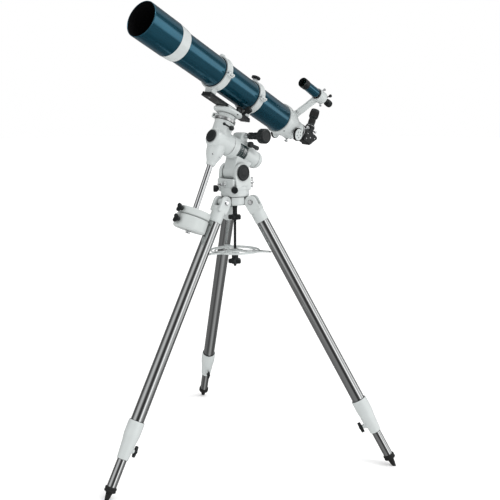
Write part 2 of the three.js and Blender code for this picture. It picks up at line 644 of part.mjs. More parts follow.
{
  // Profiles below list [radius, distance ahead of the declination axis].
  const tubeBore = TUBE_R + FIT;
  ota.add(piece('main_tube',
    tube(TUBE_R, TUBE_R - TUBE_WALL, CASTING_FRONT - 20, CELL_REAR + 18, 56, [0, 0, 0], alongTube),
    BLUE));

  const cell = turnedRing([
    [tubeBore, CELL_REAR], [54.6, CELL_REAR], [DEW_R - 0.2, CELL_FRONT - 3], [DEW_R - 0.2, CELL_FRONT],
    [55.2, CELL_FRONT], [55.2, CELL_FRONT + 22], [51, CELL_FRONT + 22],
    [51, CELL_REAR + 26], [48, CELL_REAR + 24], [48, CELL_REAR + 18.4], [tubeBore, CELL_REAR + 18.4],
  ], 56, [0, 0, 0], alongTube);
  ota.add(piece('objective_cell', cell, WHITE));

  const lensRear = CELL_REAR + 26.5;
  const lens = turned([
    [0, lensRear - 1], [50.6, lensRear + 0.6], [50.6, lensRear + 13], [30, lensRear + 17.2],
    [0, lensRear + 19],
  ], 56, [0, 0, 0], alongTube);
  ota.add(piece('objective_lens', lens, GLASS));

  const dew = turnedRing([
    [55.6, CELL_FRONT + FIT], [DEW_R, CELL_FRONT + FIT], [DEW_R, DEW_FRONT - 2],
    [DEW_R - 1, DEW_FRONT], [56.6, DEW_FRONT], [55.6, DEW_FRONT - 2],
  ], 56, [0, 0, 0], alongTube);
  ota.add(piece('dew_shield', dew, BLUE));

  // Rear casting with the rack-and-pinion box below it and the finder's shoe at the upper right.
  const shoe = box([-9, -12, 40], [9, 12, 60.6]).rotate([0, 45, 0]).translate([0, 314, 0]);
  const casting = cut(
    join(
      turned([
        [0, CASTING_FRONT], [56.4, CASTING_FRONT], [57.6, CASTING_FRONT - 2],
        [57.6, CASTING_FRONT - 22], [55.6, CASTING_FRONT - 30], [49, CASTING_FRONT - 62],
        [41, CASTING_FRONT - 84], [35, CASTING_FRONT - 100], [33.6, CASTING_REAR + 2],
        [32.4, CASTING_REAR], [0, CASTING_REAR],
      ].reverse(), 52, [0, 0, 0], alongTube),
      box([-19, -PINION_L - 20, -46], [19, -PINION_L + 24, -18]),
      rod(9.5, -42, 42, 20, [0, -PINION_L, PINION_U], [0, 90, 0]),
      shoe,
    ),
    rod(tubeBore, CASTING_FRONT - 20.4, CASTING_FRONT + 5, 56, [0, 0, 0], alongTube),
    turned([
      [0, CASTING_FRONT - 74], [27.4, CASTING_FRONT - 74], [46, CASTING_FRONT - 34],
      [49, CASTING_FRONT - 19], [0, CASTING_FRONT - 19],
    ], 48, [0, 0, 0], alongTube),
    rod(DRAWTUBE_R + FIT, CASTING_REAR - 5, CASTING_FRONT - 70, 40, [0, 0, 0], alongTube),
    hole(4.4, -60, 60, 16, [0, -PINION_L, PINION_U], [0, 90, 0]),
  );
  ota.add(piece('focuser_housing', casting, WHITE));

  const drawEnd = -414;
  const drawtube = turnedRing([
    [24.2, -312], [DRAWTUBE_R, -312], [DRAWTUBE_R, drawEnd + 10], [31, drawEnd + 9],
    [31.6, drawEnd + 7], [31.6, drawEnd - 8], [30, drawEnd - 10], [16.7, drawEnd - 10],
    [16.7, drawEnd + 4], [24.2, drawEnd + 6],
  ].reverse(), 40, [0, 0, 0], alongTube);
  ota.add(piece('focuser_drawtube', drawtube, SATIN_BLACK));

  const knobs = turned([
    [0, -62], [15, -62], [21, -60.5], [21, -58.5], [24, -58], [24.4, -56], [24.4, -50],
    [20, -47], [10, -46.5], [8, -44], [4, -43.6], [4, 43.6], [8, 44], [10, 46.5],
    [20, 47], [24.4, 50], [24.4, 56], [24, 58], [21, 58.5], [21, 60.5], [15, 62], [0, 62],
  ], 32);
  frame(ota, [0, -PINION_L, PINION_U], [0, 90, 0]).add(piece('focus_knobs', knobs, WHITE));

  // Star diagonal: nose, prism housing and eyepiece holder.
  const nose = drawEnd - 10;
  const eyeY = 470;
  const outline = [
    [-nose + 10, -22], [472, -22], [478, -26], [484, -22], [516, 14], [512, 22], [492, 24],
    [-nose + 10, 24],
  ];
  const diagonal = cut(
    join(
      rod(15.9, nose - 14, nose + 12, 28, [0, 0, 0], alongTube),
      softRod(19.5, nose - 14, nose - FIT, 1, 28, [0, 0, 0], alongTube),
      plate(outline, -18.5, 18.5, [0, 0, 0], [90, 0, 90]),
      softRod(18, 22, 46, 1, 32, [0, eyeY, 0]),
    ),
    hole(16.2, 30, 50, 28, [0, eyeY, 0]),
  );
  ota.add(piece('star_diagonal', diagonal, BLACK));

  const eyepiece = turned([
    [0, 32], [15.9, 32], [15.9, 46 + FIT], [17, 46 + FIT], [17, 52], [13.6, 55], [13.2, 80],
    [17, 85], [17.6, 88], [17.6, 108], [16.4, 115], [13, 118], [0, 116],
  ], 32, [0, eyeY, 0]);
  ota.add(piece('eyepiece', eyepiece, BLACK));
}

// ---- Finder -------------------------------------------------------------------------------
{
  const FINDER_RADIUS = 163;
  const finder = frame(ota, [0, 0, 0], [0, 45, 0]);
  const foot = 61;
  const bracket = cut(
    join(
      box([-8, 304, foot], [8, 326, foot + 6]),
      plate([
        [-11, foot], [11, foot], [16, foot + 12], [14, 104], [16, FINDER_RADIUS - 19],
        [-16, FINDER_RADIUS - 19], [-14, 104], [-16, foot + 12],
      ], -5, 5, [0, 315, 0], [90, 0, 90]),
      rod(22.4, -336, -296, 32, [0, 0, FINDER_RADIUS], alongTube),
    ),
    rod(18.6, -350, -280, 32, [0, 0, FINDER_RADIUS], alongTube),
  );
  finder.add(piece('finder_bracket', bracket, WHITE));
  const scope = turned([
    [0, -392], [11.8, -392], [12.6, -388], [12.6, -366], [10, -364], [10, -344], [12, -340],
    [12, -300], [16.8, -286], [17.4, -284], [16.4, -222], [17.8, -220], [17.8, -195],
    [15.8, -195], [15.8, -214], [0, -214],
  ], 32, [0, 0, FINDER_RADIUS], alongTube);
  finder.add(piece('finder_scope', scope, BLUE));
}

// The origin is the middle of the footprint.
telescope.position.y = FOOTPRINT_SHIFT;

export default telescope;
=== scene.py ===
"""A refractor telescope on an equatorial mount and a tripod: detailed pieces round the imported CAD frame."""
from math import cos, pi, radians, sin, sqrt

import bmesh
import bpy
from mathutils import Matrix, Vector

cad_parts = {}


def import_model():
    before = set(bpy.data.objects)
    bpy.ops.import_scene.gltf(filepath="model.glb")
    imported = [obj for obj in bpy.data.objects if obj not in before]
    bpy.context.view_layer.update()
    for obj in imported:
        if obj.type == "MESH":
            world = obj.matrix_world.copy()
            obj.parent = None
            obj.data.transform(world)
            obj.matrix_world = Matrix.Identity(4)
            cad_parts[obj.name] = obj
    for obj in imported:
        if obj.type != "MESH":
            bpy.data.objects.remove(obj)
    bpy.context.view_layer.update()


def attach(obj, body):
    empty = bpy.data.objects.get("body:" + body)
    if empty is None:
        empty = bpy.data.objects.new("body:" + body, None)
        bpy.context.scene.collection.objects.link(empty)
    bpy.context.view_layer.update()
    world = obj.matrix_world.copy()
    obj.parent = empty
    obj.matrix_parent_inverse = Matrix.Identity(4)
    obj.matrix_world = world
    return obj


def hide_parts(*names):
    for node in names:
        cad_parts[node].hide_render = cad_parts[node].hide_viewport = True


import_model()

scene = bpy.context.scene

# ---- Frames, in millimetres: the footprint's middle, both axes, the saddle and the tube -----
FOOTPRINT_SHIFT, OTA_HEIGHT = 58.8, 194


def place(at=(0, 0, 0), turn=(0, 0, 0)):
    """A move and a turn (degrees about X, then Y, then Z)."""
    rx, ry, rz = (radians(a) for a in turn)
    return (Matrix.Translation(Vector(at)) @ Matrix.Rotation(rz, 4, "Z")
            @ Matrix.Rotation(ry, 4, "Y") @ Matrix.Rotation(rx, 4, "X"))


WORLD = place((0, FOOTPRINT_SHIFT, 0))
POLAR = WORLD @ place((0, -78, 1164.3), (-23.08, 0, 0))
HEAD = POLAR @ place(turn=(0, 3, 0))
DEC = HEAD @ place(turn=(0, 0, 5.5))
OTA = DEC @ place((0, 0, OTA_HEIGHT))
FORWARD = (90, 0, 0)         # a piece turned about +Z comes to point forwards along the tube
BACKWARD = (-90, 0, 0)
RIGHT = (0, 90, 0)
LEFT = (0, -90, 0)


# ---- Materials ------------------------------------------------------------------------------
def new_material(name):
    """An empty material with a principled shader."""
    mat = bpy.data.materials.new(name)
    mat.use_nodes = True
    nodes = mat.node_tree.nodes
    nodes.clear()
    out = nodes.new("ShaderNodeOutputMaterial")
    shader = nodes.new("ShaderNodeBsdfPrincipled")
    mat.node_tree.links.new(shader.outputs[0], out.inputs[0])
    return mat, nodes, mat.node_tree.links, shader


def grain(nodes, links, scale, detail=2.0, stretch=(1, 1, 1)):
    """Noise over the piece's own coordinates, in metres."""
    at = nodes.new("ShaderNodeAttribute")
    at.attribute_name = "local"
    spread = nodes.new("ShaderNodeVectorMath")
    spread.operation = "MULTIPLY"
    spread.inputs[1].default_value = stretch
    links.new(at.outputs["Vector"], spread.inputs[0])
    noise = nodes.new("ShaderNodeTexNoise")
    noise.inputs["Scale"].default_value = scale
    noise.inputs["Detail"].default_value = detail
    links.new(spread.outputs[0], noise.inputs["Vector"])
    return noise.outputs["Fac"]


def ramp(nodes, links, value, stops):
    """A colour for each value, from (position, colour) stops."""
    node = nodes.new("ShaderNodeValToRGB")
    while len(node.color_ramp.elements) < len(stops):
        node.color_ramp.elements.new(0.5)
    for element, (position, colour) in zip(node.color_ramp.elements, stops):
        element.position = position
        element.color = (*colour, 1) if len(colour) == 3 else colour
    links.new(value, node.inputs[0])
    return node.outputs[0]


def span(nodes, links, value, low, high):
    """Noise about 0.5, spread over the range from low to high."""
    node = nodes.new("ShaderNodeMapRange")
    node.inputs["From Min"].default_value = 0.3
    node.inputs["From Max"].default_value = 0.7
    node.inputs["To Min"].default_value = low
    node.inputs["To Max"].default_value = high
    links.new(value, node.inputs["Value"])
    return node.outputs[0]


def bump(nodes, links, shader, value, strength, distance):
    node = nodes.new("ShaderNodeBump")
    node.inputs["Strength"].default_value = strength
    node.inputs["Distance"].default_value = distance
    links.new(value, node.inputs["Height"])
    links.new(node.outputs[0], shader.inputs["Normal"])


def scaled(colour, k):
    return tuple(min(1.0, c * k) for c in colour)


def finish_of(name, colour, rough, spread=0.05, mottle=0.06, mottle_scale=25, fine=900,
              fine_strength=0.15, fine_depth=0.0002, stretch=(1, 1, 1), metallic=0.0, coat=0.0,
              coat_rough=0.05, painted_crevice_shade=0.0, specular=0.5):
    """A painted, moulded or metal surface: mottled colour, uneven gloss, a fine relief, and painted shade
    that darkens the colour in crevices.
    """
    mat, nodes, links, shader = new_material(name)
    broad = grain(nodes, links, mottle_scale, 4, stretch)
    small = grain(nodes, links, fine, 2, stretch)
    tone = ramp(nodes, links, broad, [(0.3, scaled(colour, 1 - mottle)), (0.7, scaled(colour, 1 + mottle))])
    # Painted shade: ambient occlusion darkens the colour in crevices and recesses, where shade falls.
    if painted_crevice_shade:
        shade = nodes.new("ShaderNodeAmbientOcclusion")
        shade.samples = 6
        shade.inputs["Distance"].default_value = 0.012
        mix = nodes.new("ShaderNodeMix")
        mix.data_type = "RGBA"
        mix.inputs["A"].default_value = (*scaled(colour, 1 - painted_crevice_shade), 1)
        lift = nodes.new("ShaderNodeMapRange")
        lift.inputs["From Min"].default_value = 0.35
        lift.inputs["From Max"].default_value = 0.9
        links.new(shade.outputs["AO"], lift.inputs["Value"])
        links.new(lift.outputs[0], mix.inputs["Factor"])
        links.new(tone, mix.inputs["B"])
        tone = mix.outputs["Result"]
    links.new(tone, shader.inputs["Base Color"])
    links.new(span(nodes, links, small, rough - spread, rough + spread), shader.inputs["Roughness"])
    shader.inputs["Metallic"].default_value = metallic
    shader.inputs["Coat Weight"].default_value = coat
    shader.inputs["Coat Roughness"].default_value = coat_rough
    shader.inputs["Specular IOR Level"].default_value = specular
    bump(nodes, links, shader, small, fine_strength, fine_depth)
    return mat


#        name, colour, roughness and its spread, mottle and its scale, grain, relief strength, depth
M = {
    # The two white enamels carry painted shade: their colour is darker in crevices and recesses.
    "white": finish_of("white enamel", (0.565, 0.60, 0.595), 0.30, 0.05, 0.02, 18, 700, 0.12, 0.00025,
                       coat=0.35, coat_rough=0.12, painted_crevice_shade=0.5),
    "iron": finish_of("white enamel on iron", (0.55, 0.585, 0.575), 0.36, 0.06, 0.03, 30, 420, 0.25,
                      0.0004, coat=0.25, coat_rough=0.15, painted_crevice_shade=0.5),
    "blue": finish_of("blue metallic enamel", (0.009, 0.082, 0.128), 0.15, 0.03, 0.08, 9, 2600, 0.04,
                      0.0001, metallic=0.7, coat=0.3, coat_rough=0.03),
    "plastic": finish_of("black moulded plastic", (0.008, 0.011, 0.012), 0.40, 0.07, 0.15, 60, 1500,
                         0.25, 0.0002, specular=0.38),
    "anodised": finish_of("black anodised", (0.011, 0.013, 0.014), 0.30, 0.06, 0.12, 40, 1800, 0.15,
                          0.0001, metallic=0.35, specular=0.4),
    "rubber": finish_of("black rubber", (0.012, 0.012, 0.012), 0.68, 0.08, 0.2, 80, 1200, 0.4, 0.0003,
                        specular=0.3),
    "steel": finish_of("drawn steel tube", (0.50, 0.51, 0.51), 0.13, 0.04, 0.05, 9, 260, 0.06, 0.0001,
                       stretch=(1, 1, 0.02), metallic=1.0),
    "chrome": finish_of("polished chrome", (0.66, 0.67, 0.68), 0.12, 0.03, 0.03, 20, 500, 0.04, 0.0001,
                        metallic=1.0),
    "machined": finish_of("machined alloy", (0.62, 0.63, 0.63), 0.30, 0.06, 0.05, 30, 900, 0.2, 0.0001,
                          stretch=(1, 1, 6), metallic=1.0),
    "flocked": finish_of("black flocking", (0.004, 0.004, 0.0045), 0.92, 0.05, 0.2, 200, 3000, 0.6,
                         0.0004, specular=0.1),
    "felt": finish_of("black felt", (0.010, 0.010, 0.011), 0.95, 0.03, 0.2, 300, 4000, 0.7, 0.0004,
                      specular=0.1),
    "ink": finish_of("dark engraving", (0.03, 0.035, 0.035), 0.5, 0.05, 0.1, 80, 1500, 0.1, 0.0001),
    "plate": finish_of("dark label plate", (0.018, 0.035, 0.036), 0.22, 0.04, 0.1, 60, 1600, 0.08,
                       0.0001, coat=0.5, coat_rough=0.08),
    "brass": finish_of("brass", (0.60, 0.42, 0.16), 0.22, 0.05, 0.08, 60, 900, 0.1, 0.0001,
                       metallic=1.0),
}


def lens_glass():
    mat, nodes, links, shader = new_material("coated glass")
    tone = ramp(nodes, links, grain(nodes, links, 12, 1),
                [(0.3, (0.80, 0.93, 0.88)), (0.7, (0.86, 0.90, 0.97))])
    links.new(tone, shader.inputs["Base Color"])
    shader.inputs["Roughness"].default_value = 0.02
    shader.inputs["Transmission Weight"].default_value = 1.0
    shader.inputs["IOR"].default_value = 1.52
    shader.inputs["Coat Weight"].default_value = 0.6
    shader.inputs["Coat Tint"].default_value = (0.6, 0.9, 0.75, 1)
    return mat


M["glass"] = lens_glass()


# ---- Shapes ---------------------------------------------------------------------------------
def soften(points, radius, closed):
    """Each corner of a profile becomes a short curve."""
    out = []
    for i, point in enumerate(points):
        if not closed and i in (0, len(points) - 1):
            out.append(point)
            continue
        here = Vector(point[:2])
        before = Vector(points[i - 1][:2]) - here
        after = Vector(points[(i + 1) % len(points)][:2]) - here
        if before.length < 1e-6 or after.length < 1e-6 or before.angle(-after, 0) < radians(12):
            out.append(point)
            continue
        reach = min(radius, 0.45 * before.length, 0.45 * after.length)
        a = here + before.normalized() * reach
        b = here + after.normalized() * reach
        for k in range(4):
            s = k / 3
            p = a * (1 - s) ** 2 + here * 2 * s * (1 - s) + b * s * s
            out.append((p.x, p.y, *point[2:]))
    return out


def arc(cx, cy, r, start, end, steps=16):
    """Points on a circle's arc, angles in degrees."""
    return [(cx + r * cos(radians(start + (end - start) * k / steps)),
             cy + r * sin(radians(start + (end - start) * k / steps))) for k in range(steps + 1)]


class Shape:
    """Closed shells in millimetres, gathered in one mesh."""

    def __init__(self, mat="white", turn=(0, 0, 0), soft=0.8):
        self.bm = bmesh.new()
        self.mats = []
        self.mat, self.turn, self.soft = mat, turn, soft

    def index(self, mat):
        name = mat or self.mat
        if name not in self.mats:
            self.mats.append(name)
        return self.mats.index(name)

    def take(self, bm, at, turn):
        """Puts one finished shell in its place."""
        bm.normal_update()
        bmesh.ops.recalc_face_normals(bm, faces=bm.faces)
        bm.transform(place(at, turn or self.turn))
        mesh = bpy.data.meshes.new("part")
        bm.to_mesh(mesh)
        bm.free()
        self.bm.from_mesh(mesh)
        bpy.data.meshes.remove(mesh)
        return self

    def lathe(self, profile, at=(0, 0, 0), turn=None, mat=None, sides=96, soft=None, sweep=None):
        """A turned shell about +Z. A profile that starts off the axis is closed on itself."""
        closed = profile[0][0] > 1e-6
        soft = self.soft if soft is None else soft
        points = soften(profile, soft, closed) if soft else list(profile)
        full = sweep is None
        start, end = sweep or (0, 360)
        count = sides if full else sides + 1
        bm = bmesh.new()
        rings = []
        for r, z, *_ in points:
            if r < 1e-6:
                rings.append([bm.verts.new((0, 0, z))] * count)
                continue
            ring = []
            for j in range(count):
                a = radians(start + (end - start) * j / sides)
                ring.append(bm.verts.new((r * cos(a), r * sin(a), z)))
            rings.append(ring)
        spans = len(points) if closed else len(points) - 1
        current = mat
        for i in range(spans):
            if len(points[i]) > 2:
                current = points[i][2]
            low, high = rings[i], rings[(i + 1) % len(points)]
            for j in range(sides):
                k = (j + 1) % count
                corners = []
                for v in (low[j], low[k], high[k], high[j]):
                    if v not in corners:
                        corners.append(v)
                if len(corners) > 2:
                    bm.faces.new(corners).material_index = self.index(current)
        if not full:
            for j in (0, sides):
                bm.faces.new([ring[j] for ring in rings]).material_index = self.index(mat)
        return self.take(bm, at, turn)

    def turned(self, profile, **how):
        """A solid turned shell: the profile, closed to the axis at both ends."""
        return self.lathe([(0, profile[0][1]), *profile, (0, profile[-1][1])], **how)

    def rod(self, radius, z0, z1, sides=48, **how):
        return self.turned([(radius, z0), (radius, z1)], sides=sides, **how)

    def ring(self, outer, inner, z0, z1, soft=0.5, **how):
        return self.lathe([(inner, z0), (outer, z0), (outer, z1), (inner, z1)], soft=soft, **how)

    def thread(self, radius, z0, z1, pitch, sides=24, **how):
        """A screw's shank, with its thread as fine ridges."""
        count = max(2, int((z1 - z0) / pitch))
        points = [(0, z0)]
        for i in range(count + 1):
            z = z0 + (z1 - z0) * i / count
            points.append((radius - 0.55, z))
            if i < count:
                points.append((radius, z + (z1 - z0) / count / 2))
        points.append((0, z1))
        return self.lathe(points, sides=sides, soft=0, **how)

    def ball(self, radius, at):
        points = [(radius * sin(pi * k / 16), -radius * cos(pi * k / 16)) for k in range(17)]
        points[0], points[-1] = (0, -radius), (0, radius)
        return self.lathe(points, at, sides=32, soft=0)

    def plate(self, outline, z0, z1, at=(0, 0, 0), turn=None, mat=None, bevel=0.8):
        """A flat outline, extruded from z0 to z1 with soft edges."""
        bm = bmesh.new()
        low = [bm.verts.new((x, y, z0)) for x, y in outline]
        high = [bm.verts.new((x, y, z1)) for x, y in outline]
        bm.faces.new(low[::-1])
        bm.faces.new(high)
        for i in range(len(outline)):
            j = (i + 1) % len(outline)
            bm.faces.new((low[i], low[j], high[j], high[i]))
        index = self.index(mat)
        for face in bm.faces:
            face.material_index = index
        bm.normal_update()
        if bevel:
            edges = [e for e in bm.edges if abs(e.calc_face_angle(0)) > radians(22)]
            bmesh.ops.bevel(bm, geom=edges, offset=bevel, segments=2, profile=0.5, affect="EDGES",
                            clamp_overlap=True)
        return self.take(bm, at, turn)

    def box(self, low, high, at=(0, 0, 0), turn=None, mat=None, bevel=0.8):
        return self.plate([(low[0], low[1]), (high[0], low[1]), (high[0], high[1]), (low[0], high[1])],
                          low[2], high[2], at, turn, mat, bevel)

    def lobed(self, radius_at, stations, at=(0, 0, 0), turn=None, sides=120):
        """A knob whose outline is radius_at(angle), scaled at each (height, scale) station."""
        bm = bmesh.new()
        rings = []
        for z, k in stations:
            rings.append([bm.verts.new((radius_at(2 * pi * j / sides) * k * cos(2 * pi * j / sides),
                                        radius_at(2 * pi * j / sides) * k * sin(2 * pi * j / sides), z))
                          for j in range(sides)])
        for low, high in zip(rings, rings[1:]):
            for j in range(sides):
                m = (j + 1) % sides
                bm.faces.new((low[j], low[m], high[m], high[j]))
        bm.faces.new(rings[0][::-1])
        bm.faces.new(rings[-1])
        index = self.index(None)
        for face in bm.faces:
            face.material_index = index
        return self.take(bm, at, turn)

    def hexagon(self, across, z0, z1, turn=None):
        r = across / sqrt(3)
        outline = [(r * cos(radians(60 * k)), r * sin(radians(60 * k))) for k in range(6)]
        return self.plate(outline, z0, z1, turn=turn, bevel=0.5)

    def mesh(self):
        made = bpy.data.meshes.new("shape")
        self.bm.to_mesh(made)
        self.bm.free()
        for name in self.mats:
            made.materials.append(M[name])
        return made


def temporary(mesh):
    obj = bpy.data.objects.new("temporary", mesh)
    scene.collection.objects.link(obj)
    return obj


def evaluated(obj):
    """The mesh with its modifiers applied; the object goes."""
    graph = bpy.context.evaluated_depsgraph_get()
    made = bpy.data.meshes.new_from_object(obj.evaluated_get(graph))
    bpy.data.objects.remove(obj)
    return made


def cut_away(obj, cuts):
    """Takes the cuts out of obj exactly. The tool it returns has to stay until obj is evaluated."""
    tool = temporary(cuts.mesh())
    tool.hide_render = True
    cutter = obj.modifiers.new("cut", "BOOLEAN")
    cutter.operation = "DIFFERENCE"
    cutter.solver = "EXACT"
    cutter.use_self = True
    cutter.object = tool
    return tool


def cast(shape, voxel=1.1, smooth=5, keep=0.4, cuts=None):
    """One cast body: the shells run together with soft inner corners, then the cuts are machined."""
    obj = temporary(shape.mesh())
    remesh = obj.modifiers.new("remesh", "REMESH")
    remesh.mode = "VOXEL"
    remesh.voxel_size = voxel
    relax = obj.modifiers.new("smooth", "SMOOTH")
    relax.factor = 0.5
    relax.iterations = smooth
    thin = obj.modifiers.new("decimate", "DECIMATE")
    thin.ratio = keep
    tool = cut_away(obj, cuts) if cuts else None
    made = evaluated(obj)
    if tool:
        bpy.data.objects.remove(tool)
    return made


def machined(shape, cuts):
    """The shape with the cuts taken out, with no remeshing."""
    obj = temporary(shape.mesh())
    tool = cut_away(obj, cuts)
    made = evaluated(obj)
    bpy.data.objects.remove(tool)
    return made


def piece(name, made, where, body, nodes=(), sharp=38, weighted=True):
    """Puts a shape or mesh where its frame says, as one named piece on a CAD body."""
    mesh = made.mesh() if isinstance(made, Shape) else made
    mesh.name = name
    local = mesh.attributes.new("local", "FLOAT_VECTOR", "POINT")
    coords = [0.0] * (3 * len(mesh.vertices))
    mesh.vertices.foreach_get("co", coords)
    local.data.foreach_set("vector", [c * 0.001 for c in coords])
    mesh.transform(Matrix.Scale(0.001, 4) @ where)
    mesh.polygons.foreach_set("use_smooth", [True] * len(mesh.polygons))
    mesh.set_sharp_from_angle(angle=radians(sharp))
    obj = bpy.data.objects.new(name, mesh)
    scene.collection.objects.link(obj)
    if weighted:
        normals = obj.modifiers.new("normals", "WEIGHTED_NORMAL")
        normals.keep_sharp = True
        normals.weight = 60
    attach(obj, body)
    if nodes:
        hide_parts(*([nodes] if isinstance(nodes, str) else nodes))
    return obj


def star(lobes, inner, outer, power=1.0):
    """A hand knob's lobed outline."""
    return lambda a: inner + (outer - inner) * ((1 + cos(lobes * a)) / 2) ** power


def knurl(radius, teeth, depth):
    """A ribbed outline."""
    return lambda a: radius - depth * abs(sin(teeth * a / 2)) ** 0.7


def domed(z0, z1, edge=1.6):
    """Stations for a knob with soft rims."""
    return [(z0, 0.90), (z0 + 0.4 * edge, 0.955), (z0 + edge, 1.0), (z1 - edge, 1.0),
            (z1 - 0.4 * edge, 0.955), (z1, 0.90)]


# ---- Tripod ---------------------------------------------------------------------------------
LEG_SPREAD, HINGE_RADIUS, HINGE_HEIGHT = 29.56, 63, 947
LEG_AZIMUTHS = (270, 30, 150)
LEG_LENGTH = HINGE_HEIGHT / cos(radians(LEG_SPREAD))
LEG_TUBE_R, LEG_EXTENSION_R = 22.9, 16.3
CLAMP_TOP, CLAMP_BOTTOM, FOOT_TOP = 278, 144, 48
BRACKET_BOTTOM = -79


def along(distance):
    """Height in a leg's frame, from the distance along the leg from its foot."""
    return distance - LEG_LENGTH


def tripod_hub():
    hub = Shape()
    hub.turned([(44, 935), (49, 941), (49, 963), (47, 965.4)], soft=2)
    for azimuth in LEG_AZIMUTHS:
        hub.box((30, -12.2, 936.5), (63, 12.2, 960), turn=(0, 0, azimuth), bevel=1.5)
        hub.rod(13, -12.2, 12.2, at=(63 * cos(radians(azimuth)), 63 * sin(radians(azimuth)), 947),
                turn=(90, 0, azimuth), soft=1.5)
    cuts = Shape()
    for azimuth in LEG_AZIMUTHS:
        for low, high in ((-26, -12.9), (12.9, 26)):
            cuts.box((37.5, low, 900), (90, high, 1000), turn=(0, 0, azimuth), bevel=0)
    cuts.rod(6.6, 900, 1000, soft=0)
    piece("tripod_head", cast(hub, 0.9, 4, 0.4, cuts), WORLD, "base_frame", "tripod_hub")
    peg = Shape("chrome")
    peg.box((-4.5, -43.5, 962), (4.5, -34.5, 987), bevel=1)
    piece("azimuth_peg", peg, WORLD, "base_frame")
    rod = Shape("anodised")
    rod.turned([(4, 711), (4.9, 712.5), (4.9, 724), (4.9, 960)], sides=32, soft=0.5)
    rod.thread(5.0, 712, 760, 1.5)
    rod.thread(5.0, 862, 930, 1.5)
    piece("tripod_rod", rod, WORLD, "base_frame", "center_rod")


def hub_knobs():
    five = star(5, 15.5, 24.6, 0.8)
    for name, body, node, low, top in (("spreader_wheel", "tray_knob", "tray_lock_knob", 721, 759.6),
                                       ("mount_wheel", "mount_knob", "mount_lock_knob", 882, 933.4)):
        knob = Shape("plastic")
        knob.lobed(five, domed(low, low + 16, 3.5), turn=(0, 0, 12))
        boss = 12 if low < 800 else 8.2
        knob.lathe([(5.6, low + 15), (15, low + 15), (boss, low + 19), (boss, top - 1.5), (boss - 1, top),
                    (5.6, top)], soft=1)
        knob.lathe([(5.6, low - 2), (11, low - 2), (12.5, low + 1), (5.6, low + 1)], soft=0.6)
        piece(name, knob, WORLD, body, node)


def tray():
    z = 766
    top = Shape()
    top.lathe([(84.5, z), (89.8, z), (90, z + 5.6), (88.2, z + 6), (87.4, z + 3.4), (84.5, z + 3)],
              soft=0.7, sides=144)
    top.lathe([(70.5, z), (76, z), (76, z + 3), (74, z + 5), (72, z + 5), (70.5, z + 3)], soft=0.7,
              sides=128)
    top.lathe([(5.8, z - 6), (15.6, z - 6), (15.6, z), (31, z), (31, z + 3), (28, z + 5), (25.5, z + 5),
               (24.5, z + 3), (13.8, z + 3), (13.8, z + 8.8), (5.8, z + 8.8)], soft=0.7)
    for azimuth in LEG_AZIMUTHS:
        for side in (-1, 1):
            rib = [(26, side * 10), (44, side * 8.6), (72, side * 12.5), (72, side * 25), (52, side * 23),
                   (30, side * 17)]
            top.plate(rib if side > 0 else rib[::-1], z, z + 3, turn=(0, 0, azimuth), bevel=0.6)
        top.plate([(24, -11), (44, -6.5), (44, 6.5), (24, 11)], z, z + 3, turn=(0, 0, azimuth), bevel=0.6)
        top.plate([(66, -10), (78, -12), (78, 12), (66, 10)], z, z + 3, turn=(0, 0, azimuth), bevel=0.6)
        tab = [(72, -26), (88, -18), (98, -12.6), (112, -8.4), (128, -8.2), (135.2, -4.6), (135.2, 4.6),
               (128, 8.2), (112, 8.4), (98, 12.6), (88, 18), (72, 26)]
        top.plate(tab, z, z + 3.2, turn=(0, 0, azimuth), bevel=0.8)
        for side in (-1, 1):
            rim = [(84, side * 20), (98, side * 12.6), (112, side * 8.4), (128, side * 8.2),
                   (128, side * 6.4), (112, side * 6.6), (98, side * 10.6), (84, side * 18)]
            top.plate(rim if side > 0 else rim[::-1], z + 2, z + 5, turn=(0, 0, azimuth), bevel=0.5)
    piece("spreader_tray", top, WORLD, "tray", "accessory_tray")


